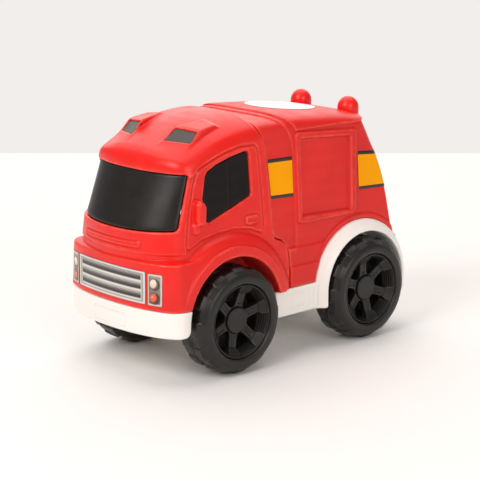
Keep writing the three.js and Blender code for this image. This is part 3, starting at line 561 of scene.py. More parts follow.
RED = (0.80, 0.008, 0.004)
# in these materials the edge colour is a painted highlight plus wear, and the crease strength sets painted shade plus
# dirt
M_CAB = plastic("red_shell", RED, 0.34, grain=0.22, mottle=0.05, edge=0.45, wear_and_highlight_colour=(1.0, 0.15, 0.09), crease_shade_and_dirt=0.3, dust=0.02, dust_colour=(0.55, 0.10, 0.07), scuff=0.04, scuff_colour=(0.60, 0.10, 0.07), specular=0.45)
M_BOX = plastic("red_shell_rear", (0.74, 0.009, 0.005), 0.40, grain=0.32, mottle=0.06, edge=0.40, wear_and_highlight_colour=(0.95, 0.13, 0.08), crease_shade_and_dirt=0.32, dust=0.03, dust_colour=(0.5, 0.10, 0.08), scuff=0.06, scuff_colour=(0.55, 0.10, 0.08), specular=0.42)
M_WHITE = plastic("white_chassis", (0.92, 0.875, 0.83), 0.38, grain=0.22, mottle=0.015, edge=0.3, wear_and_highlight_colour=(0.96, 0.93, 0.90), crease_shade_and_dirt=0.5, scuff=0.22, dust=0.02, scuff_colour=(0.60, 0.50, 0.40))
M_KEEPER = plastic("white_keeper", (0.80, 0.76, 0.71), 0.45, mottle=0.03, crease_shade_and_dirt=0.2)
M_GLASS = plastic("black_window", (0.009, 0.007, 0.006), 0.36, specular=0.35, grain=0.05, grain_scale=1800, mottle=0.1, edge=0.25, wear_and_highlight_colour=(0.05, 0.045, 0.04), crease_shade_and_dirt=0.1, dust=0.02, scuff=0.05, scuff_colour=(0.10, 0.09, 0.08))
M_LENS = plastic("grey_lens", (0.080, 0.066, 0.060), 0.38, grain=0.6, grain_scale=900, mottle=0.12, edge=0.2, wear_and_highlight_colour=(0.25, 0.24, 0.22), crease_shade_and_dirt=0.1)
M_TYRE = plastic("tyre_black", (0.011, 0.009, 0.008), 0.36, specular=0.42, grain=0.22, grain_scale=1500, mottle=0.12, edge=0.25, wear_and_highlight_colour=(0.055, 0.052, 0.05), crease_shade_and_dirt=0.3, dust=0.05, dust_colour=(0.10, 0.095, 0.09), scuff=0.10, scuff_colour=(0.09, 0.085, 0.08))
# the rim takes its colour from a vertex attribute that holds painted shade for the parts deep inside the wheel
M_RIM = plastic("rim_black", (0.011, 0.009, 0.008), 0.44, specular=0.35, grain=0.40, grain_scale=1900, mottle=0.12, edge=0.35, wear_and_highlight_colour=(0.07, 0.068, 0.065), crease_shade_and_dirt=0.3, dust=0.05, dust_colour=(0.11, 0.10, 0.095), paint="print_and_shade")
M_CAP = plastic("hub_cap_black", (0.012, 0.010, 0.009), 0.38, specular=0.4, grain=0.30, grain_scale=1900, mottle=0.12, edge=0.2, wear_and_highlight_colour=(0.05, 0.048, 0.046), crease_shade_and_dirt=0.2, dust=0.05, dust_colour=(0.10, 0.09, 0.085))
M_GLASS2 = plastic("black_side_window", (0.008, 0.006, 0.006), 0.40, specular=0.14, grain=0.05, grain_scale=1800, mottle=0.1, edge=0.2, wear_and_highlight_colour=(0.05, 0.045, 0.04), crease_shade_and_dirt=0.1, dust=0.02)
M_ROUNDEL = plastic("roundel_white", (0.85, 0.85, 0.865), 0.35, grain=0.08, mottle=0.015, edge=0.0, crease_shade_and_dirt=0.0, dust=0.02)
M_ORANGE = plastic("stripe_orange", (1.0, 0.37, 0.0), 0.42, specular=0.07, grain=0.10, mottle=0.04, edge=0.0, crease_shade_and_dirt=0.0, dust=0.02)
M_BAR = plastic("stripe_black", (0.02, 0.016, 0.015), 0.36, grain=0.10, mottle=0.08, edge=0.0, crease_shade_and_dirt=0.0)
M_PRINT = plastic("label_print", (0.6, 0.57, 0.54), 0.34, grain=0.10, mottle=0.05, edge=0.0, crease_shade_and_dirt=0.0, paint="print_and_shade", coat=0.25)
M_STEEL = steel("axle_steel", (0.60, 0.61, 0.63), 0.30)
M_SCREW = steel("screw_steel", (0.62, 0.60, 0.54), 0.36)

# ------------------------------------------------------------------ body shape
SIDE = tab([[49, 54.2], [60, 53.9], [92, 52.5], [105, 51.9], [143, 49.4], [160, 48.6], [185, 48.4]], 3)
CAB_FRONT = tab([[49, -63.9], [88, -63.8], [105, -63.1], [143.0, -46.2], [143.3, -46.3], [144.3, -47.4], [150, -47.4], [158, -46.4], [190, -41.0]], 0.35)
CAB_FRONT_S = tab([[49, -63.9], [88, -63.8], [105, -63.1], [143.0, -46.6], [150, -45], [190, -35]], 3.0)
BUMPER_TOP = 52.2
CAB_ROUND = tab([[49, 24], [92, 26], [105, 29], [143, 20], [190, 19]], 3)
NOSE_A = tab([[46, 59.8], [57, 59.5], [70, 58.6], [79, 57.6], [84, 57.0], [92, 56.4]], 1.0)
NOSE_Y = tab([[46, -65.4], [57, -65.2], [79, -64.8], [92, -64.7]])
NOSE_B = tab([[46, 19], [57, 18.6], [70, 18.6], [79, 19], [84, 19.5], [92, 20]], 1)
CAB_ROOF = tab([[-75, 120], [-49, 142.0], [-47.6, 145.8], [-46.6, 148.8], [-45, 151.5], [-42, 154.7], [-38, 157.7], [-30, 161.6], [-20, 166.2], [-10, 170.3], [0, 173.2], [10, 175], [20, 176.1], [31, 176.6], [80, 176.6]], 0.8)
CAB_CROWN = tab([[-75, 2.4], [-36, 2.45], [-10, 2.8], [10, 2.7], [31, 2.6]], 3)
TAIL = tab([[49, 177.2], [70.8, 177.2], [73, 174.2], [87, 172.6], [99, 171.2], [111, 169.2], [124, 166.4], [138, 162.4], [152, 157.6], [158, 154.6], [164, 151], [170, 147], [185, 141]], 0.7)
TAIL_ROUND = tab([[49, 9], [72, 10], [99, 13], [111, 14], [124, 16], [138, 19], [152, 24], [185, 26]], 3)
BOX_ROOF = tab([[20, 173.8], [62, 173.6], [80, 172.4], [97, 171.2], [118, 169.4], [134, 167.0], [144, 165.0], [150, 162.6], [156, 159], [162, 154], [180, 140]], 2)
SEAM = [[57.2, 20], [57.0, 70], [55.8, 77], [53.8, 82], [50.4, 85.2], [46.6, 86.6], [43.6, 88.2], [42.4, 92], [41.6, 98], [40.6, 112], [40.0, 126], [38.8, 140], [37.3, 151], [34.6, 161], [31.6, 167], [30.2, 172], [29, 190]]
RIM_LINE = [[64.5, 40], [64.6, 143], [63.4, 153], [60.4, 160], [55.5, 167], [50.5, 171.5], [46.5, 175], [42, 186]]
PANEL_OUT = [[68.2, 160.4], [127.6, 156.2], [128.8, 154.6], [125.8, 98.4], [122.6, 94.6], [70, 94.6], [66.6, 96.4], [66.2, 158.4]]
PANEL_IN = [[71.7, 154.8], [121.7, 151.4], [119.8, 97.8], [71.2, 99.6]]
WINDSCREEN = [[-45.2, 105.6], [-30, 105.2], [0, 105.0], [30, 105.2], [45.2, 105.6], [47.6, 106.4], [48.5, 108.6], [46.9, 139.6], [46.2, 142.0], [43.6, 143.0], [0, 142.9], [-43.6, 143.0], [-46.2, 142.0], [-46.9, 139.6], [-48.5, 108.6], [-47.6, 106.4]]
SIDE_WINDOW = [[-21.7, 125.4], [-18.6, 140.0], [-16.8, 142.6], [-9, 146.4], [4.2, 150.2], [17.6, 152.6], [20.2, 152.4], [21.4, 150.4], [22.2, 123.6], [21.2, 121.2], [3, 114.8], [-15, 108.8], [-17.8, 108.2], [-19.4, 110.0]]
DOOR = [[-38.9, 96], [-38.2, 93.2], [-35.5, 92.4], [-24.5, 97.2], [-10.8, 99.6], [4.9, 100.4], [18.9, 98.6], [29.4, 94.6], [31.6, 94.6], [32.2, 97.5], [32.0, 110], [31.2, 128], [30.0, 145.4], [28.9, 154.0], [26.6, 156.6], [13.4, 156.6], [0, 154.2], [-10.9, 150.9], [-21.2, 147.2], [-26.2, 144.6], [-28.4, 140], [-31.2, 132.9], [-34.7, 119.8], [-37.4, 106.6]]


def plan_level(ax, n, a, y0, b, p, tail=False):
    v = np.maximum(0, ((n - (y0 - b)) if tail else (y0 + b - n)) / b)
    return ((ax / a) ** p + v ** p) ** (1 / p) - 1


def roof_level(ax, z, W, Hh, D, p):
    zc = Hh - D
    w = W + 9 * np.maximum(0, zc - z) / np.maximum(zc - 40, 1)
    return ((ax / w) ** p + np.maximum(0, (z - zc) / D) ** p) ** (1 / p) - 1


def plane_through(pts):
    P = np.array(pts, float)
    c = P.mean(0)
    nrm = np.linalg.svd(P - c)[2][2]
    return c, nrm


POD = {"ot": (38.4, -15.4, 169.9), "it": (17.6, -20.0, 171.0), "ob": (38.8, -23.4, 160.0), "ib": (16.0, -31.4, 161.2),
       "bo": (37.2, 2.5, 171.9), "bi": (21.2, 1.5, 174.2), "lo": (36.8, 6.0, 166.0), "li": (22.0, 6.5, 170.0)}
LENS = [(36.6, -15.8, 168.3), (19.1, -19.7, 169.4), (17.5, -29.0, 162.3), (37.0, -22.0, 161.6)]
L = np.array(LENS)
lens_mid = L.mean(0)
lens_u = (L[1] - L[0]) + (L[2] - L[3]); lens_u /= np.linalg.norm(lens_u)
lens_n = np.cross(lens_u, (L[0] - L[3]) + (L[1] - L[2])); lens_n /= np.linalg.norm(lens_n)
if lens_n[2] < 0:
    lens_n = -lens_n
lens_v = np.cross(lens_n, lens_u)


def windscreen_cut(ax, n, z):
    """Inside the windscreen opening: side edges are cut square to the curved front, with rounded corners."""
    x0 = 49.2 - (z - 108.6) * (1.6 / 31.0)
    n0 = -43.4 + (z - 108.6) * (9.5 / 31.0)
    side = 0.55 * (ax - x0) + 0.83 * (n - n0)
    low = (104.4 + 1.1 * (ax / 45.0) ** 2) - z
    high = z - 142.95
    q = np.maximum(side + 3.2, 0) ** 2
    a = np.sqrt(q + np.maximum(low + 3.2, 0) ** 2) + np.minimum(np.maximum(side + 3.2, low + 3.2), 0) - 3.2
    q = np.maximum(side + 2.2, 0) ** 2
    b = np.sqrt(q + np.maximum(high + 2.2, 0) ** 2) + np.minimum(np.maximum(side + 2.2, high + 2.2), 0) - 2.2
    return np.maximum(np.maximum(a, b), n + 22.0).astype(np.float32)


def cab_base(g):
    """The cab without its cut-outs: body, nose and wings."""
    ax, n, z = g.x, g.n, g.z
    body = g.unit(plan_level(ax, n, SIDE(z), CAB_FRONT(z), CAB_ROUND(z), 2.12))
    roof = g.unit(roof_level(ax, z, 49.6, CAB_ROOF(n), 22.0, CAB_CROWN(n)))
    # the window surround and upper nose stand a little proud of the doors
    front_line = [[-39.2, 88], [-38.9, 96], [-37.4, 106.6], [-34.7, 119.8], [-31.2, 132.9], [-28.6, 141.5], [-27.5, 150]]
    ahead = -line_dist(front_line, n, z)
    proud = 0.8 * step(-0.1, 0.6, ahead) * step(89.6, 90.4, z) * step(144.4, 143.2, z)
    body = body - proud
    d = smax(body, roof, 3.4)
    # the roof's lower edge stands out over the door and dies away towards the back
    top = np.interp(n, [-34, -28.4, -26.2, -21.2, -10.9, 0, 13.4, 26.6, 34], [139.5, 142.6, 145.4, 148.0, 151.7, 155.0, 157.4, 157.6, 157.2])
    dz = z - top
    amp = np.interp(n, [-40, -33, -20, 0, 18, 26], [1.0, 1.25, 1.0, 0.65, 0.3, 0.0])
    d = d - (amp * step(-0.3, 0.7, dz) * np.exp(-np.maximum(dz, 0) / 9.0) * step(30, 44, ax)).astype(np.float32)
    nose = g.unit(plan_level(ax, n, NOSE_A(z), NOSE_Y(z), NOSE_B(z), np.interp(z, [50, 66, 82], [2.15, 2.2, 2.4]).astype(np.float32)))
    # the ledge on top of the nose rises gently towards the cab
    nose = smax(nose, (z - 84.6 - 0.34 * np.clip(-nose, 0, 10)) * 0.95, 0.9)
    nose = smax(nose, n - 4, 3.0)
    d = smin(d, nose, 0.6)
    r = np.hypot(n, z - WELL_ZF)
    lead = np.clip((-0.75 * n + 0.66 * (z - WELL_ZF)) / np.maximum(r, 1), 0, 1) ** 7
    re = r - 1.9 * lead * step(49, 53, r)
    xs = np.interp(re, [0, 43, 48.5, 49.2, 49.9, 51.5, 53.4, 55.2, 56.6, 57.6, 59, 63, 70], [60.6, 60.5, 60.1, 59.6, 58.3, 57.9, 57.0, 55.6, 53.8, 51.6, 47, 30, -90]).astype(np.float32)
    gr = np.gradient(xs[0], g.h)
    slope = np.sqrt(1 + gr[0] ** 2 + gr[1] ** 2)[None]
    wing = (ax - xs) / slope
    d = smin(d, wing, 0.9)
    return d.astype(np.float32)


def cab_field(h):
    g = Grid((0, -68.5, 47.5), (62.5, 61, 179.5), h)
    ax, n, z = g.x, g.n, g.z
    d = cab_base(g)
    hollow_src = d + WALL + 0.4
    r = np.hypot(n, z - WELL_ZF)
    side = step(36, 43, ax)
    # door outline
    dd = sdf_poly(DOOR, n, z)
    d = d + (1.0 * np.exp(-(dd / 0.6) ** 2) - 0.18 * np.exp(-((dd + 1.3) / 0.8) ** 2)) * side
    # handle
    hh = rrect(21.4, 105.1, 13.0, 7.0, 2.8, n, z)
    d = d + (0.6 * np.exp(-((hh - 0.2) / 0.5) ** 2) - 0.75 * step(0.0, -1.0, hh) + 0.3 * step(-1.2, -2.6, hh)) * side
    # embossed bar under the windscreen
    front = step(-44, -48, n)
    bar = rrect(0, 96.0, 59, 4.9, 2.3, ax, z)
    d = d + (0.55 * np.exp(-(bar / 0.5) ** 2) - 0.42 * step(-0.2, -1.2, bar) + 0.45 * np.exp(-((z - 96.0) / 0.45) ** 2) * step(-1.0, -2.0, bar)) * front
    # roof lamp pods
    faces = [("ot", "it", "bo", "bi"), ("ot", "it", "ob", "ib"), ("ot", "ob", "bo", "lo"), ("it", "ib", "bi", "li"), ("bo", "bi", "lo", "li")]
    mid = np.array([28.0, -12.0, 160.0])
    pod = None
    for f in faces:
        c, nm = plane_through([POD[k] for k in f])
        if np.dot(c - mid, nm) < 0:
            nm = -nm
        w = ((ax - c[0]) * nm[0] + (n - c[1]) * nm[1] + (z - c[2]) * nm[2]).astype(np.float32)
        pod = w if pod is None else smax(pod, w, 2.0)
    pod = np.maximum(pod, 156.0 - z)
    d = smin(d, pod, 2.0)
    u = (ax - lens_mid[0]) * lens_u[0] + (n - lens_mid[1]) * lens_u[1] + (z - lens_mid[2]) * lens_u[2]
    v = (ax - lens_mid[0]) * lens_v[0] + (n - lens_mid[1]) * lens_v[1] + (z - lens_mid[2]) * lens_v[2]
    w = (ax - lens_mid[0]) * lens_n[0] + (n - lens_mid[1]) * lens_n[1] + (z - lens_mid[2]) * lens_n[2]
    quad = [((p - lens_mid) @ lens_u, (p - lens_mid) @ lens_v) for p in L]
    near = (np.abs(u) < 16) & (np.abs(v) < 12) & (np.abs(w) < 8)
    pk = np.full(d.shape, 50.0, np.float32)
    uu, vv, ww = (np.broadcast_to(a, d.shape)[near] for a in (u, v, w))
    pk[near] = np.maximum(sdf_poly(quad, uu, vv) - 0.25, -(ww + 2.4))
    d = smax(d, -pk, 0.9)
    # mirrors
    head = sdf_poly([[-31.2, 108.2], [-25.8, 107.2], [-23.6, 109.6], [-23.0, 121.0], [-25.2, 124.4], [-29.2, 126.2], [-31.6, 123.4], [-32.0, 112]], n, z)
    head = smax(head + 0.3, np.abs(ax - 52.4) - 4.0, 2.8)
    foot = rrect(-30.0, 105.9, 6.6, 8.4, 3.0, n, z)
    foot = smax(foot + 0.2, np.abs(ax - 50.8) - 3.0, 2.4)
    d = smin(d, smin(head, foot, 1.4), 1.0)
    # window openings, wheel wells, joints
    d = smax(d, -windscreen_cut(ax, n, z), 1.1)
    sw = np.maximum(sdf_poly(SIDE_WINDOW, n, z), 36.0 - ax)
    d = smax(d, -sw, 2.3)
    d = smax(d, -np.maximum(r - WELL_RF, WELL_IN_X - ax), 1.5)
    well_wall = np.maximum(r - WELL_RF - WALL, WELL_IN_X - WALL - ax)
    hollow = smax(hollow_src, -well_wall, 0.5)
    # keep material round the roof pods
    d = np.maximum(d, -hollow)
    d = smax(d, line_dist(SEAM, n, z) + GAP / 2, 2.6)
    bottom = np.interp(n, [-37.6, -37.0], [BUMPER_TOP + 0.3, BODY_BOTTOM]).astype(np.float32)
    d = smax(d, bottom - z, 0.7)
    return Field(g, d), g


def box_level(g, k=1.2):
    ax, n, z = g.x, g.n, g.z
    loft = g.unit(plan_level(ax, n, SIDE(z), TAIL(z), TAIL_ROUND(z), 2.1, tail=True))
    roof = g.unit(roof_level(ax, z, 49.0, BOX_ROOF(n), 17.0, 4.2))
    return smax(loft, roof, k)


def box_offset(n, z, ax):
    """How far each region of the rear body stands out from the reference skin."""
    rim = line_dist(RIM_LINE, n, z)
    o = -2.2 + 1.0 * step(-0.5, 0.5, rim)
    plat = -sdf_poly([[56.0, 172.6], [57.5, 190], [230, 190], [230, 161], [66.8, 161.5], [64, 166]], n, z)
    o = o + (0.2 - o) * step(-0.7, 0.6, plat)
    side = step(36, 42, ax)
    po = -sdf_poly(PANEL_OUT, n, z)
    o = o + side * np.maximum(0.15 - o, 0) * step(-0.6, 0.5, po)
    pin = -sdf_poly(PANEL_IN, n, z)
    o = o + side * (-2.3 - o) * step(-1.5, 0.9, pin)
    low = step(78.3, 77.3, z) * step(56, 57.5, n)
    o = o + np.maximum(-0.6 - o, 0) * low
    low2 = step(65.1, 64.1, z) * step(56, 57.5, n)
    o = o + np.maximum(0.25 - o, 0) * low2
    r = np.hypot(n - WHEELBASE, z - WELL_ZR)
    bead = step(52.2, 50.9, r) * side
    o = o + np.maximum(-0.3 - o, 0) * bead
    return o.astype(np.float32)


def rear_field(h):
    g = Grid((0, 26.5, 47.5), (57, 180, 177), h)
    ax, n, z = g.x, g.n, g.z
    base = box_level(g)
    d = base - box_offset(n, z, ax)
    well = np.where(z > WELL_ZR, np.hypot(n - WHEELBASE, z - WELL_ZR), np.abs(n - WHEELBASE))
    d = smax(d, -np.maximum(well - FLARE_R - GAP, 50.6 - ax), 0.8)
    d = np.maximum(d, -np.maximum(well - WELL_RR - WALL - GAP, WELL_IN_X - WALL - GAP - ax))
    for s in (1,):
        rb = np.hypot(ax - 25.0, n - 143.4)
        d = np.maximum(d, -np.maximum(rb - 3.3, 140 - z))
    hollow = np.maximum(base + WALL + 2.2, -(z - 10))
    d = np.maximum(d, -hollow)
    d = smax(d, GAP / 2 - line_dist(SEAM, n, z), 1.0)
    d = smax(d, BODY_BOTTOM - z, 0.7)
    return Field(g, d), g


def pan_field(h):
    g = Grid((0, -68.5, 27.5), (63, 180.5, 91.5), h)
    ax, n, z = g.x, g.n, g.z
    front = g.unit(plan_level(ax, n, np.float32(60.5) + 0 * z, np.float32(-66.0) + 0 * z, np.float32(20.5) + 0 * z, 2.08))
    front = smax(smax(front, BUMPER_BOTTOM - z, 1.8), n + 8, 1.0)
    main = g.unit(plan_level(ax, n, np.float32(SILL_X) + 0 * z, np.float32(179.0) + 0 * z, np.float32(10.5) + 0 * z, 2.15, tail=True))
    floor = np.interp(n, [-70, -34.1, -33.9, 165.9, 166.1, 190], [BUMPER_BOTTOM] * 2 + [PAN_BOTTOM] * 2 + [BUMPER_BOTTOM] * 2).astype(np.float32)
    main = smax(smax(main, floor - z, 2.2), -50 - n, 1.0)
    wf = np.where(z > WELL_ZF, np.hypot(n, z - WELL_ZF), np.abs(n))
    wr = np.where(z > WELL_ZR, np.hypot(n - WHEELBASE, z - WELL_ZR), np.abs(n - WHEELBASE))
    top = z - np.interp(n, [-37.6, -37.0], [BUMPER_TOP, PAN_TOP]).astype(np.float32)
    base = np.minimum(front, main)
    hf = np.maximum(wf - WELL_RF - WALL, WELL_IN_X - WALL - ax)
    hr = np.maximum(wr - WELL_RR - WALL, WELL_IN_X - WALL - ax)
    hollow = np.maximum(np.maximum(base + WALL, floor + WALL - z), np.maximum(-hf, -hr))
    d = smin(front, main, 1.0)
    # number plate outline, sill squares
    plate = rrect(0, 41.4, 34.0, 9.6, 0.8, ax, z)
    fr = step(-56, -60, n)
    d = d + (0.62 * np.exp(-(plate / 0.45) ** 2) - 0.12 * step(-0.2, -1.0, plate)) * fr
    side = step(48, 52, ax)
    sill = np.zeros(np.broadcast_shapes(n.shape, z.shape), np.float32)
    q1 = rrect(62.6, 40.6, 12.6, 11.6, 0.9, n, z)
    q2 = rrect(62.6, 40.6, 8.2, 7.4, 0.6, n, z)
    b1 = rrect(73.6, 40.6, 3.0, 11.6, 0.7, n, z)
    b2 = rrect(78.2, 40.6, 3.0, 11.6, 0.7, n, z)
    sill = 0.6 * np.exp(-(q1 / 0.42) ** 2) + 0.45 * np.exp(-(q2 / 0.42) ** 2) + 0.45 * np.exp(-(b1 / 0.42) ** 2) + 0.45 * np.exp(-(b2 / 0.42) ** 2)
    d = d + sill * side
    d = smax(d, top, 0.9)
    d = np.maximum(d, -hollow)
    # rear flares with their barrels
    xs = np.interp(wr, [0, WELL_RR + 0.9, WELL_RR + 2.2, WELL_RR + 4.6, FLARE_R, FLARE_R + 2], [60.4, 60.4, 59.6, 57.9, 54.0, 49.0]).astype(np.float32)
    gr = np.gradient(xs[0], h)
    flare = (ax - xs) / np.sqrt(1 + gr[0] ** 2 + gr[1] ** 2)[None]
    flare = smax(flare, wr - FLARE_R, 1.0)
    barrel_in = np.maximum(wr - WELL_RR - WALL, WELL_IN_X - WALL - ax)
    skirt = np.maximum(51.2 - ax, wr - FLARE_R)
    flare = np.maximum(flare, np.minimum(barrel_in, skirt))
    flare = smax(flare, PAN_BOTTOM - z, 2.0)
    d = smin(d, flare, 1.2)
    d = smax(d, -np.maximum(wr - WELL_RR, WELL_IN_X - ax), 1.6)
    d = smax(d, -np.maximum(wf - WELL_RF, WELL_IN_X - ax), 1.2)
    # the bumper's lower back corner is rounded at the wheel opening
    cc = np.maximum(np.maximum(-48 - n, z - 39.7), 6 - np.hypot(n + 48, z - 39.7))
    cc = np.maximum(np.maximum(cc, n + 40.6), WELL_IN_X + WALL - ax)
    d = smax(d, -cc, 0.8)
    # axle saddles, screw cups
    for yc in (0.0, WHEELBASE):
        blk = np.maximum(np.maximum(np.abs(ax - 22) - 4, np.abs(n - yc) - 7), np.maximum(z - AXLE_Z + 0.2, PAN_BOTTOM + 1 - z))
        d = np.minimum(d, blk)
        d = np.maximum(d, -np.maximum(np.hypot(n - yc, z - AXLE_Z) - 2.55, ax - 60))
        for s in (-1, 1):
            post = np.hypot(ax, n - yc - s * 7.2)
            d = np.minimum(d, np.maximum(post - 3.2, np.maximum(z - AXLE_Z + 0.2, PAN_BOTTOM + 1 - z)))
            d = np.maximum(d, -np.maximum(post - 1.45, PAN_BOTTOM + 2.6 - z))
    for bx, by, z0 in ((0, -59.2, BUMPER_BOTTOM), (48.6, 50.4, PAN_BOTTOM), (0, 171.8, BUMPER_BOTTOM), (48.4, 65.2, PAN_BOTTOM)):
        rr = np.hypot(ax - bx, n - by)
        d = np.minimum(d, np.maximum(rr - 4.9, np.maximum(z0 + 0.5 - z, z - z0 - 6.3)))
        d = smax(d, -np.maximum(rr - 3.2, z - z0 - 3.8), 0.4)
        d = np.maximum(d, -np.maximum(rr - 1.8, z - z0 - 8))
    return Field(g, d), g


def window_field(h):
    """Windscreen insert: a gently bowed pane just inside its opening."""
    g = Grid((0, -66, 102), (54, -18, 146), h)
    ax, n, z = g.x, g.n, g.z
    body = g.unit(plan_level(ax, n, SIDE(z), CAB_FRONT_S(z), CAB_ROUND(z), 2.12))
    ws = windscreen_cut(ax, n, z) + GAP
    d = smax(body + 0.55, ws, 1.3)
    d = np.maximum(d, -(body + 3.0))
    return Field(g, d), g


def side_window_field(h):
    g = Grid((40, -25, 104), (54, 26, 157), h, half=False)
    ax, n, z = g.x, g.n, g.z
    body = g.unit(plan_level(ax, n, SIDE(z), CAB_FRONT(z), CAB_ROUND(z), 2.12))
    sw = sdf_poly(SIDE_WINDOW, n, z) + GAP
    div = 0.45 * np.exp(-((n - 3.0) / 0.6) ** 2)
    d = smax(body + 1.75 + div, sw, 0.8)
    d = np.maximum(d, -(body + 4.0))
    return Field(g, d), g


cab_f, cab_g = cab_field(H)
cab_ob = shell_piece("cab_body", cab_f, 196000, [M_CAB])
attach(cab_ob, "chassis"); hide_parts("cab_shell")

rear_f, rear_g = rear_field(H)
rear_ob = shell_piece("rear_body", rear_f, 196000, [M_BOX])
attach(rear_ob, "chassis"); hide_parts("rear_body_shell")

pan_f, pan_g = pan_field(H)
pan_ob = shell_piece("chassis_moulding", pan_f, 190000, [M_WHITE])
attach(pan_ob, "chassis"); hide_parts("chassis_pan")

wf_, _g = window_field(H * 0.9)
w_ob = shell_piece("windscreen_pane", wf_, 60000, [M_GLASS], soft=1.0)
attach(w_ob, "chassis"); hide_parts("windscreen_insert")

sf_, _g = side_window_field(H * 0.9)
sw_ob = shell_piece("side_pane_left", sf_, 16000, [M_GLASS2], soft=0.8)
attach(sw_ob, "chassis"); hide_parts("side_window_left")


def mirrored(ob, name):
    me = ob.data
    co = np.empty(len(me.vertices) * 3, np.float32); me.vertices.foreach_get("co", co)
    co = co.reshape(-1, 3).astype(float); co[:, 0] *= -1
    fc = np.array([list(p.vertices)[::-1] for p in me.polygons])
    idx = np.array([p.material_index for p in me.polygons])
    attrs = {}
    for a in me.attributes:
        if a.name in ("bend",):
            v = np.empty(len(me.vertices), np.float32); a.data.foreach_get("value", v); attrs[a.name] = v
        if a.name == "print_and_shade":
            v = np.empty(len(me.vertices) * 4, np.float32); a.data.foreach_get("color", v); attrs[a.name] = v.reshape(-1, 4)[:, :3]
    return mesh_object(name, co * 1000, fc, list(me.materials), attrs=attrs, face_mat=idx)


sw_r = mirrored(sw_ob, "side_pane_right")
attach(sw_r, "chassis"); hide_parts("side_window_right")


# ------------------------------------------------------------------ labels
def sheet_solid(top, bottom, quads_mask=None):
    """Closed thin solid between two grids of points."""
    nu, nv = top.shape[:2]
    N = nu * nv
    verts = np.concatenate([top.reshape(-1, 3), bottom.reshape(-1, 3)])
    i, j = np.meshgrid(np.arange(nu - 1), np.arange(nv - 1), indexing="ij")
    a = (i * nv + j).ravel(); b = ((i + 1) * nv + j).ravel()
    c = ((i + 1) * nv + j + 1).ravel(); d = (i * nv + j + 1).ravel()
    up = np.stack([a, b, c, d], 1)
    lo = np.stack([a, d, c, b], 1) + N
    ring = [(k, 0) for k in range(nu)] + [(nu - 1, k) for k in range(1, nv)] + [(k, nv - 1) for k in range(nu - 2, -1, -1)] + [(0, k) for k in range(nv - 2, 0, -1)]
    ri = np.array([u * nv + v for u, v in ring])
    rn = np.roll(ri, -1)
    rim = np.stack([ri + N, rn + N, rn, ri], 1)
    return verts, np.concatenate([up, lo, rim]), len(up)


def label_piece(name, node, field, start, direction, reach, lift, thick, mats, colour=None, relief=None, row_mat=None, flip=False):
    p = field.cast(start, direction, reach)
    g = field.grad(p, 1.2)
    g /= np.linalg.norm(g, axis=-1)[..., None]
    rel = 0 if relief is None else relief[..., None]
    top = p + g * (lift + thick + rel)
    bot = p + g * lift
    v, f, nt_ = sheet_solid(top, bot)
    if flip:
        f = f[:, ::-1]
    v = v.copy(); v[:, 1] += FRONT_AXLE_Y
    attrs = {"bend": np.zeros(len(v), np.float32)}
    if colour is not None:
        attrs["print_and_shade"] = np.concatenate([colour.reshape(-1, 3)] * 2)
    fm = None
    if row_mat is not None:
        nu, nv = start.shape[:2]
        j = np.tile(np.arange(nv - 1), nu - 1)
        fm = np.concatenate([row_mat[j], row_mat[j], np.zeros(len(f) - 2 * nt_, int)])
    ob = mesh_object(name, v, f, mats, attrs=attrs, face_mat=fm)
    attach(ob, "chassis"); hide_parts(node)
    return ob


rng_state = np.random.RandomState(7)


def blur(a, k):
    for axis in (0, 1):
        w = np.exp(-0.5 * (np.arange(-int(3 * k) - 1, int(3 * k) + 2) / k) ** 2); w /= w.sum()
        a = np.apply_along_axis(lambda m: np.convolve(np.pad(m, len(w) // 2, mode="edge"), w, "valid"), axis, a)
    return a


# grille
px = 0.24
gx = np.arange(-36.4, 36.4 + px / 2, px)
gz = np.arange(56.4, 79.0 + px / 2, px)
GX, GZ = np.meshgrid(gx, gz, indexing="ij")
slots = [(72.7, 77.0), (66.3, 70.6), (59.9, 64.2)]
base = np.empty(GX.shape + (3,))
silver = np.array([0.50, 0.47, 0.43]); bright = np.array([0.80, 0.77, 0.73]); dark = np.array([0.020, 0.015, 0.012])
rowv = np.clip((GZ - 56.2) / 23.0, 0, 1)
base[:] = silver * (0.95 + 0.15 * rowv[..., None])
relief = np.zeros(GX.shape)
sd_in = rrect(0, 68.05, 66.6, 19.4, 0.8, GX, GZ)
base = np.where((sd_in < 0)[..., None], silver * 0.9, base)
for lo_, hi_ in slots:
    sd = rrect(0, (lo_ + hi_) / 2, 64.4, hi_ - lo_, 0.5, GX, GZ)
    depth = step(0.2, -0.3, sd)
    tt = np.clip((GZ - lo_) / (hi_ - lo_), 0, 1)
    hatch = step(-0.3, 0.5, np.sin((GX * 0.35 + GZ * 2.1) * 2.1))
    shade = dark + (silver * 0.85 - dark) * (step(0.25, 1.0, tt) ** 1.4)[..., None]
    shade = shade * (1 - 0.86 * (hatch * step(0.2, 0.5, tt) * step(1.05, 0.7, tt))[..., None]) + 0.05 * ((1 - hatch) * step(0.3, 0.6, tt))[..., None]
    base = base * (1 - depth[..., None]) + shade * depth[..., None]
    lip = np.exp(-((GZ - lo_ + 0.75) / 0.55) ** 2) * step(32.8, 32.0, np.abs(GX))
    base = base + (bright - base) * (0.95 * lip)[..., None]
    relief -= 0.38 * depth * step(1.0, 0.35, tt)
rim_hi = np.exp(-((rrect(0, 67.7, 70.8, 21.2, 0.8, GX, GZ)) / 0.6) ** 2)
base = base + (bright - base) * (0.8 * rim_hi)[..., None]
rim_lo = np.exp(-((rrect(0, 67.9, 67.8, 18.6, 0.8, GX, GZ)) / 0.32) ** 2)
base = base * (1 - 0.5 * rim_lo[..., None])
relief += 0.12 * np.exp(-((rrect(0, 67.7, 70.2, 20.4, 0.8, GX, GZ)) / 1.0) ** 2)
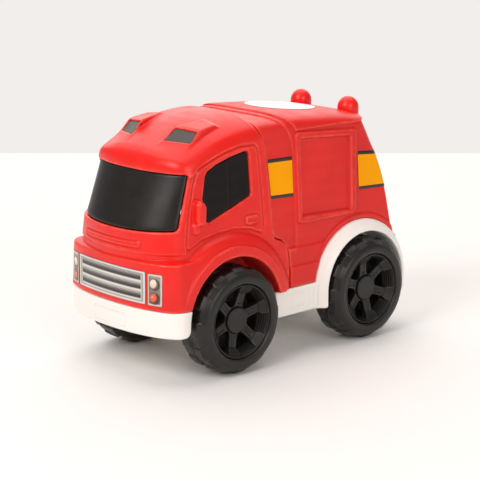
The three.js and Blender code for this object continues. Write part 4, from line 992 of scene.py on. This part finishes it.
# the label's outer margin is darkened all round: a painted shadow line along its edge
edge_d = rrect(0, 67.7, 72.8, 22.6, 0.6, GX, GZ)
base = base * (1 - 0.7 * step(-0.5, -0.05, edge_d))[..., None]
st = np.stack([GX, np.full(GX.shape, -68.0), GZ], -1)
label_piece("grille_plate", "grille_label", cab_f, st, (0, 1, 0), 30, 0.12, 0.34, [M_PRINT], colour=base, relief=relief)

# headlamp labels
px = 0.2
lx = np.arange(38.1, 49.0 + px / 2, px)
lz = np.arange(56.4, 78.2 + px / 2, px)
LX, LZ = np.meshgrid(lx, lz, indexing="ij")
inner = rrect(43.55, 67.3, 8.8, 19.6, 1.0, LX, LZ)
base = np.empty(LX.shape + (3,))
t = ((LZ - 56.4) / 21.8)[..., None]
plate = np.array([0.13, 0.10, 0.085]) * (1 - t) + np.array([0.27, 0.225, 0.195]) * t
plate = plate * (0.45 + 0.75 * step(38.0, 42.5, LX))[..., None]
base[:] = np.array([0.62, 0.58, 0.54])
# the border darkens along its inboard edge: a painted shadow line
base = base * (0.35 + 0.65 * step(37.8, 39.4, LX))[..., None]
base = base + (plate - base) * step(0.1, -0.4, inner)[..., None]
relief = 0.0 * LX
for zc, rad, tint, low in ((71.3, 3.3, np.array([0.86, 0.68, 0.52]), False), (61.7, 3.3, np.array([0.86, 0.12, 0.035]), True)):
    cx_ = 43.15
    rr = np.hypot(LX - cx_, (LZ - zc) / 1.12)
    off = np.hypot(LX - cx_ + 0.75, (LZ - zc - 0.55) / 1.12)
    halo = step(rad + 0.9, rad + 0.1, np.hypot(LX - cx_ - 0.5, (LZ - zc + 0.2) / 1.12))[..., None]
    disc = step(rad, rad - 0.4, rr)[..., None]
    lampc = tint * (0.80 + 0.25 * step(-1, 1, (LZ - zc) / rad))[..., None]
    lampc = lampc * (1 - 0.82 * step(rad - 0.9, rad - 0.1, off))[..., None]
    if low:
        blot = step(0.2, 0.9, np.sin(LX * 3.1 + 1.0) * np.sin(LZ * 2.6 + LX * 0.8)) * step(-0.6, 1.2, LZ - zc)
        lampc = lampc * (1 - 0.75 * blot)[..., None]
    # a pale spot at the upper inboard side of each lamp disc: painted highlight
    painted_glint = np.exp(-(((LX - cx_ + 0.9) ** 2 + (LZ - zc - 1.0) ** 2) / 0.7))[..., None]
    lampc = lampc + (np.array([0.98, 0.90, 0.82]) - lampc) * painted_glint * (0.25 if low else 0.55)
    base = base * (1 - halo * 0.88) + np.array([0.03, 0.018, 0.013]) * halo * 0.88
    base = base + (lampc - base) * disc
    relief = relief + 0.5 * np.sqrt(np.clip(1 - (rr / rad) ** 2, 0, 1)) - 0.12 * halo[..., 0] * (1 - disc[..., 0])
eo = rrect(43.55, 67.3, 10.9, 21.8, 1.2, LX, LZ)
base = base * (1 - 0.6 * step(-0.3, 0.05, eo))[..., None]
st = np.stack([LX, np.full(LX.shape, -68.0), LZ], -1)
lamp_l = label_piece("headlamp_left", "headlamp_label_left", cab_f, st, (0, 1, 0), 34, 0.12, 0.34, [M_PRINT], colour=base, relief=relief)
lamp_r = mirrored(lamp_l, "headlamp_right")
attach(lamp_r, "chassis"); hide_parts("headlamp_label_right")

# side stripes: rows run from the lower bar to the upper bar
def stripe(name, node_l, node_r, corners, bars):
    (y0, z0a, z0b), (y1, z1a, z1b) = corners
    us = np.linspace(0, 1, 40)
    fr = [0.0, bars[0] * 0.5, bars[0]] + list(np.linspace(bars[0], bars[1], 22)[1:]) + [(bars[1] + 1) / 2, 1.0]
    vs = np.array(fr)
    U, V = np.meshgrid(us, vs, indexing="ij")
    Yv = y0 + (y1 - y0) * U
    Zv = (z0a + (z1a - z0a) * U) * (1 - V) + (z0b + (z1b - z0b) * U) * V
    if node_l.endswith("front_left"):
        Yv = Yv + (39.4 - 41.3) * V * (1 - U)
    else:
        Yv = y0 + (TAIL(Zv) - 0.5 * TAIL_ROUND(Zv) - y0) * U
    st = np.stack([np.full(U.shape, 60.0), Yv, Zv], -1)
    mid = 0.5 * (vs[1:] + vs[:-1])
    rm = np.where((mid < bars[0]) | (mid > bars[1]), 1, 0)
    a = label_piece(name + "_left", node_l, rear_f, st, (-1, 0, 0), 24, 0.12, 0.24, [M_ORANGE, M_BAR], row_mat=rm)
    b = mirrored(a, name + "_right")
    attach(b, "chassis"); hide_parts(node_r)


stripe("stripe_front", "stripe_label_front_left", "stripe_label_front_right", ((41.9, 115.9, 144.2), (63.7, 114.9, 143.6)), (0.085, 0.905))
stripe("stripe_rear", "stripe_label_rear_left", "stripe_label_rear_right", ((129.8, 110.7, 139.4), (163.0, 109.1, 137.3)), (0.085, 0.905))

# roof roundel
k = 60
a = np.linspace(-1, 1, k)
A, B = np.meshgrid(a, a, indexing="ij")
X_ = A * np.sqrt(1 - B * B / 2) * 26.2
Y_ = B * np.sqrt(1 - A * A / 2) * 26.2
st = np.stack([X_, Y_ + 96.7, np.full(X_.shape, 180.0)], -1)
label_piece("roof_roundel", "roof_roundel_label", rear_f, st, (0, 0, -1), 16, 0.12, 0.3, [M_ROUNDEL])


# ------------------------------------------------------------------ turned pieces
def lathe(name, profile, seg, mats, axis="Z", centre=(0, 0, 0), ripple=0.0):
    """Closed surface of revolution; profile starts and ends on the axis. The last part may carry a fine radial ripple."""
    prof = np.array(profile, float)
    n = len(prof)
    verts, norms = [], []
    wave = np.random.RandomState(11).uniform(-1, 1, seg) * ripple
    tan = np.gradient(prof, axis=0)
    pn = np.stack([tan[:, 1], -tan[:, 0]], 1)
    pn /= np.maximum(np.linalg.norm(pn, axis=1), 1e-9)[:, None]
    for i in range(seg):
        t = 2 * math.pi * i / seg
        for q, (r, h_) in enumerate(prof[1:-1], 1):
            top = h_ >= prof[-1, 1] - 0.2 and ripple > 0
            verts.append((r * math.cos(t), r * math.sin(t), h_ + (wave[i] * min(1, r / 4) if top else 0)))
            norms.append((pn[q, 0] * math.cos(t), pn[q, 0] * math.sin(t), pn[q, 1]))
    m = n - 2
    lo_i, hi_i = len(verts), len(verts) + 1
    verts += [(0, 0, prof[0, 1]), (0, 0, prof[-1, 1])]
    norms += [(0, 0, -1), (0, 0, 1)]
    tri = []
    for i in range(seg):
        j = (i + 1) % seg
        for q in range(m - 1):
            a_, b_, c_, d_ = i * m + q, j * m + q, j * m + q + 1, i * m + q + 1
            tri += [(a_, b_, c_), (a_, c_, d_)]
        tri.append((lo_i, j * m, i * m))
        tri.append((hi_i, i * m + m - 1, j * m + m - 1))
    v = np.array(verts, float)
    if axis == "X":
        v = np.stack([v[:, 2], v[:, 0], v[:, 1]], 1)
    v = v + np.array(centre, float)
    ob = mesh_object(name, v, np.array(tri), mats, normals=None if ripple else norms, attrs={"bend": np.zeros(len(v), np.float32)})
    return ob


beacon_prof = [(0, 149), (2.9, 149), (2.9, 158.3), (3.1, 158.5), (7.3, 158.6), (7.7, 158.9)]
for z_ in np.linspace(159.4, 176.25, 34):
    if z_ > 167.2:
        rr_ = 8.0 * max(0.0, 1 - ((z_ - 167.2) / 9.06) ** 2.15) ** 0.5
    else:
        rr_ = 8.0 - 0.25 * ((167.2 - z_) / 7.8) ** 2
    beacon_prof.append((max(rr_, 0.02), z_))
beacon_prof.append((0.0, 176.27))
for side, sx in (("left", 1), ("right", -1)):
    b_ = lathe("beacon_dome_" + side, beacon_prof, 64, [M_CAB], centre=(sx * 25.0, FRONT_AXLE_Y + 143.4, 0))
    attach(b_, "chassis"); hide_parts("beacon_" + side)


# ------------------------------------------------------------------ wheels
LUGS = 12


def tyre_field(h):
    """Round-shouldered tyre with two rows of low blocks, the inner row half a pitch behind."""
    g = Grid((36.4, -40.2, -40.2), (68.2, 40.2, 40.2), h, half=False)
    x, y, z = g.x, g.n, g.z
    r = np.hypot(y, z)
    th = np.arctan2(z, y)
    P, Q = np.broadcast_arrays(x, r)
    wall = sdf_poly([[40.0, 28.2], [40.0, 31.0], [42.4, 33.0], [61.2, 33.0], [64.1, 30.9], [64.8, 29.6], [64.2, 28.1]], P, Q) - 1.6
    tread = sdf_poly([[43.2, 29.4], [43.2, 33.35], [60.2, 33.35], [62.9, 31.2], [63.2, 29.2]], P, Q) - 3.45
    car = np.minimum(wall, tread)
    car = car + np.exp(-((x - 52.4) / 1.2) ** 2) * 0.8 * step(33, 35, r)
    pitch = 2 * math.pi / LUGS

    def band(poly, shift, half, twist=None):
        c = -math.pi / 2 + shift * pitch
        a = th - c
        if twist is not None:
            a = a - twist * pitch
        a = (a + pitch / 2) % pitch - pitch / 2
        s = (np.abs(a) - half * pitch) * 37.0
        body = sdf_poly(poly, P, Q) - 1.2
        return smax(body, s, 0.8)

    outer = band([[55.3, 30.0], [55.3, 36.78], [59.9, 36.78], [62.6, 35.0], [64.4, 32.6], [65.0, 30.0]], 0.0, 0.27)
    inner = band([[41.3, 30.0], [41.5, 34.6], [43.4, 36.7], [49.6, 36.78], [49.6, 30.0]], 0.5, 0.27)
    mid_tw = np.clip((55.0 - x) / 5.0, 0, 1) * 0.5
    mid = band([[48.5, 30.0], [48.5, 35.7], [56.0, 35.7], [56.0, 30.0]], 0.0, 0.25, twist=mid_tw)
    d = smin(car, smin(outer, smin(inner, mid, 0.6), 0.6), 0.5)
    # thin parting ring on the side wall
    d = d + np.exp(-((r - 29.2) / 0.35) ** 2) * 0.3 * step(62, 64, x)
    d = smax(d, -(r - 26.5), 0.8)
    return Field(g, d.astype(np.float32)), g


def rim_field(h):
    g = Grid((38.8, -27.4, -27.4), (67.0, 27.4, 27.4), h, half=False)
    x, y, z = g.x, g.n, g.z
    r = np.hypot(y, z)
    th = np.arctan2(z, y)
    P, Q = np.broadcast_arrays(x, r)
    inner_r = np.interp(x, [38, 56.2, 56.6, 58.0, 58.4, 59.8, 60.2, 61.6, 62.0, 63.4, 63.8, 70], [22.4, 22.4, 23.0, 23.0, 23.5, 23.5, 24.0, 24.0, 24.5, 24.5, 25.0, 25.0]).astype(np.float32)
    ring = np.maximum(r - 26.1, inner_r - r)
    ring = smax(ring, np.abs(x - 53.0) - 12.3, 0.7)
    d = ring
    # spokes: channelled blades that step up and flare out into the barrel
    front = np.interp(r, [0, 12, 19.6, 20.2, 24.6, 27], [58.7, 58.9, 60.2, 61.2, 64.2, 64.6]).astype(np.float32)
    for k_ in range(6):
        a = k_ * math.pi / 3
        u = y * math.cos(a) + z * math.sin(a)
        v = -y * math.sin(a) + z * math.cos(a)
        hw = np.interp(u, [0, 6, 9, 12.5, 19.4, 21.2, 24.6, 27], [4.4, 4.4, 4.1, 3.4, 3.4, 4.9, 5.7, 5.7]).astype(np.float32)
        face = front - 0.65 * step(1.9, 1.1, np.abs(v)) * step(11.0, 13.0, u) * step(19.6, 18.4, u)
        blade = smax(np.abs(v) - hw, -(u - 5), 0.7)
        blade = smax(blade, x - face, 0.7)
        blade = smax(blade, front - 5.0 - x, 0.8)
        blade = smax(blade, r - 25.4, 0.5)
        d = smin(d, blade, 0.6)
    hub = smax(r - 10.2, np.abs(x - 51.6) - 7.0, 0.8)
    tube = smax(r - 6.2, np.abs(x - 50.0) - 6.0, 0.8)
    # a closed web behind the spokes: a dark sheet put there so the openings read as shade
    shade_web = np.maximum(r - 24.5, np.abs(x - 45.0) - 1.1)
    d = np.minimum(smin(d, smin(hub, tube, 0.8), 0.6), shade_web)
    d = smax(d, -smax(r - 9.7, 57.95 - x, 0.3), 0.3)
    d = np.maximum(d, -(r - 2.35))
    return Field(g, d.astype(np.float32)), g


hw_ = 0.62
tyre_f, _g = tyre_field(hw_)
rim_f, _g = rim_field(hw_ * 0.75)


def wheel_mesh(name, field, budget, mats):
    ob = shell_piece(name, field, budget, mats, station=False)
    return ob


tyre_src = wheel_mesh("tyre_source", tyre_f, 60000, [M_TYRE])
rim_src = wheel_mesh("rim_source", rim_f, 50000, [M_RIM])


def copy_turned(src, name, phase, side, yc):
    """A wheel piece turned by phase about its axle, then put on its side of the truck."""
    me = src.data
    n_ = len(me.vertices)
    co = np.empty(n_ * 3, np.float32); me.vertices.foreach_get("co", co)
    co = co.reshape(-1, 3).astype(float) * 1000
    bend = np.empty(n_, np.float32); me.attributes["bend"].data.foreach_get("value", bend)
    # the rims' colour attribute holds painted shade: parts deep inside the wheel are drawn nearly black
    extra = {"print_and_shade": rim_painted_shade(src)} if src.name == rim_src.name else {}
    f = np.empty(len(me.polygons) * 3, np.int32); me.loops.foreach_get("vertex_index", f)
    f = f.reshape(-1, 3)
    nr = NORMALS[src.name]
    c, s = math.cos(phase), math.sin(phase)
    Rm = np.array([[1, 0, 0], [0, c, -s], [0, s, c]])
    co, nr = co @ Rm.T, nr @ Rm.T
    if side < 0:
        T = np.diag([-1.0, -1.0, 1.0])
        co, nr = co @ T.T, nr @ T.T
    co = co + np.array([0, yc, AXLE_Z])
    return mesh_object(name, co, f, list(me.materials), normals=nr, attrs={"bend": bend, **extra})


def field_normals(ob, field):
    me = ob.data
    co = np.empty(len(me.vertices) * 3, np.float32); me.vertices.foreach_get("co", co)
    g = field.grad(co.reshape(-1, 3).astype(float) * 1000)
    return g / np.maximum(np.linalg.norm(g, axis=1), 1e-6)[:, None]


def rim_painted_shade(ob):
    """Parts deep inside the wheel get no light worth the name: their plastic is drawn nearly black."""
    me = ob.data
    co = np.empty(len(me.vertices) * 3, np.float32); me.vertices.foreach_get("co", co)
    x = co.reshape(-1, 3)[:, 0] * 1000
    f = 0.15 + 0.85 * step(50.0, 57.0, x)
    return np.outer(f, np.array([0.0115, 0.0098, 0.0088]))


NORMALS = {tyre_src.name: field_normals(tyre_src, tyre_f), rim_src.name: field_normals(rim_src, rim_f)}
SPOKES = {"front": 16.0, "rear": 40.0}
for end, yc in (("front", FRONT_AXLE_Y), ("rear", FRONT_AXLE_Y + WHEELBASE)):
    for side, sg in (("left", 1), ("right", -1)):
        body = end + "_axle_set"
        t_ = copy_turned(tyre_src, f"tread_{end}_{side}", 0.0, sg, yc)
        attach(t_, body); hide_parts(f"tyre_{end}_{side}")
        r_ = copy_turned(rim_src, f"rim_{end}_{side}", math.radians(SPOKES[end]), sg, yc)
        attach(r_, body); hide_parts(f"wheel_{end}_{side}")
        cap_prof = [(0, 58.15), (9.0, 58.15), (9.35, 58.5), (9.35, 59.5), (9.15, 60.0), (8.7, 60.3), (8.2, 60.4), (7.2, 60.42), (5.0, 60.4), (3.0, 60.42), (1.2, 60.45), (0, 60.46)]
        c_ = lathe(f"cap_{end}_{side}", cap_prof, 90, [M_CAP], axis="X", ripple=0.05)
        v = np.empty(len(c_.data.vertices) * 3, np.float32); c_.data.vertices.foreach_get("co", v)
        v = v.reshape(-1, 3)
        if sg < 0:
            v = v * np.array([-1, -1, 1], np.float32)
        v = v + np.array([0, yc * 0.001, AXLE_Z * 0.001], np.float32)
        c_.data.vertices.foreach_set("co", v.astype(np.float32).ravel()); c_.data.update()
        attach(c_, body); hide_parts(f"hub_cap_{end}_{side}")
bpy.data.objects.remove(tyre_src)
bpy.data.objects.remove(rim_src)

# ------------------------------------------------------------------ CAD pieces that keep their shape
KEEP = {"roof_lamp_lens_left": M_LENS, "roof_lamp_lens_right": M_LENS, "front_axle_keeper": M_KEEPER, "rear_axle_keeper": M_KEEPER,
        "front_axle": M_STEEL, "rear_axle": M_STEEL}
for i in range(1, 5):
    KEEP[f"keeper_screw_{i}"] = M_SCREW
for i in range(1, 7):
    KEEP[f"body_screw_{i}"] = M_SCREW
for name, mat in KEEP.items():
    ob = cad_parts[name]
    ob.data.materials.clear()
    ob.data.materials.append(mat)

# ------------------------------------------------------------------ floor
fwd = np.array([-math.sin(AZ), math.cos(AZ)])
rgt = np.array([math.cos(AZ), math.sin(AZ)])
us, vs = np.linspace(-1.5, 1.5, 7), np.linspace(-1.5, 0.76, 7)
fv = [(*(fwd * v + rgt * u), 0.0) for u in us for v in vs]
ff = [(i * 7 + j, (i + 1) * 7 + j, (i + 1) * 7 + j + 1, i * 7 + j + 1) for i in range(6) for j in range(6)]
me = bpy.data.meshes.new("floor")
me.from_pydata(fv, [], ff)
floor = bpy.data.objects.new("floor", me)
scene.collection.objects.link(floor)
fm = bpy.data.materials.new("floor_paper")
fm.use_nodes = True
nt = fm.node_tree
bs = nt.nodes["Principled BSDF"]
co = nt.nodes.new("ShaderNodeTexCoord").outputs["Object"]
nt.links.new(mix_rgb(nt, noise(nt, co, 9, 2), (0.86, 0.845, 0.83), (0.88, 0.87, 0.855)), bs.inputs["Base Color"])
bs.inputs["Roughness"].default_value = 0.75
bs.inputs["Specular IOR Level"].default_value = 0.1
me.materials.append(fm)

bpy.context.view_layer.update()
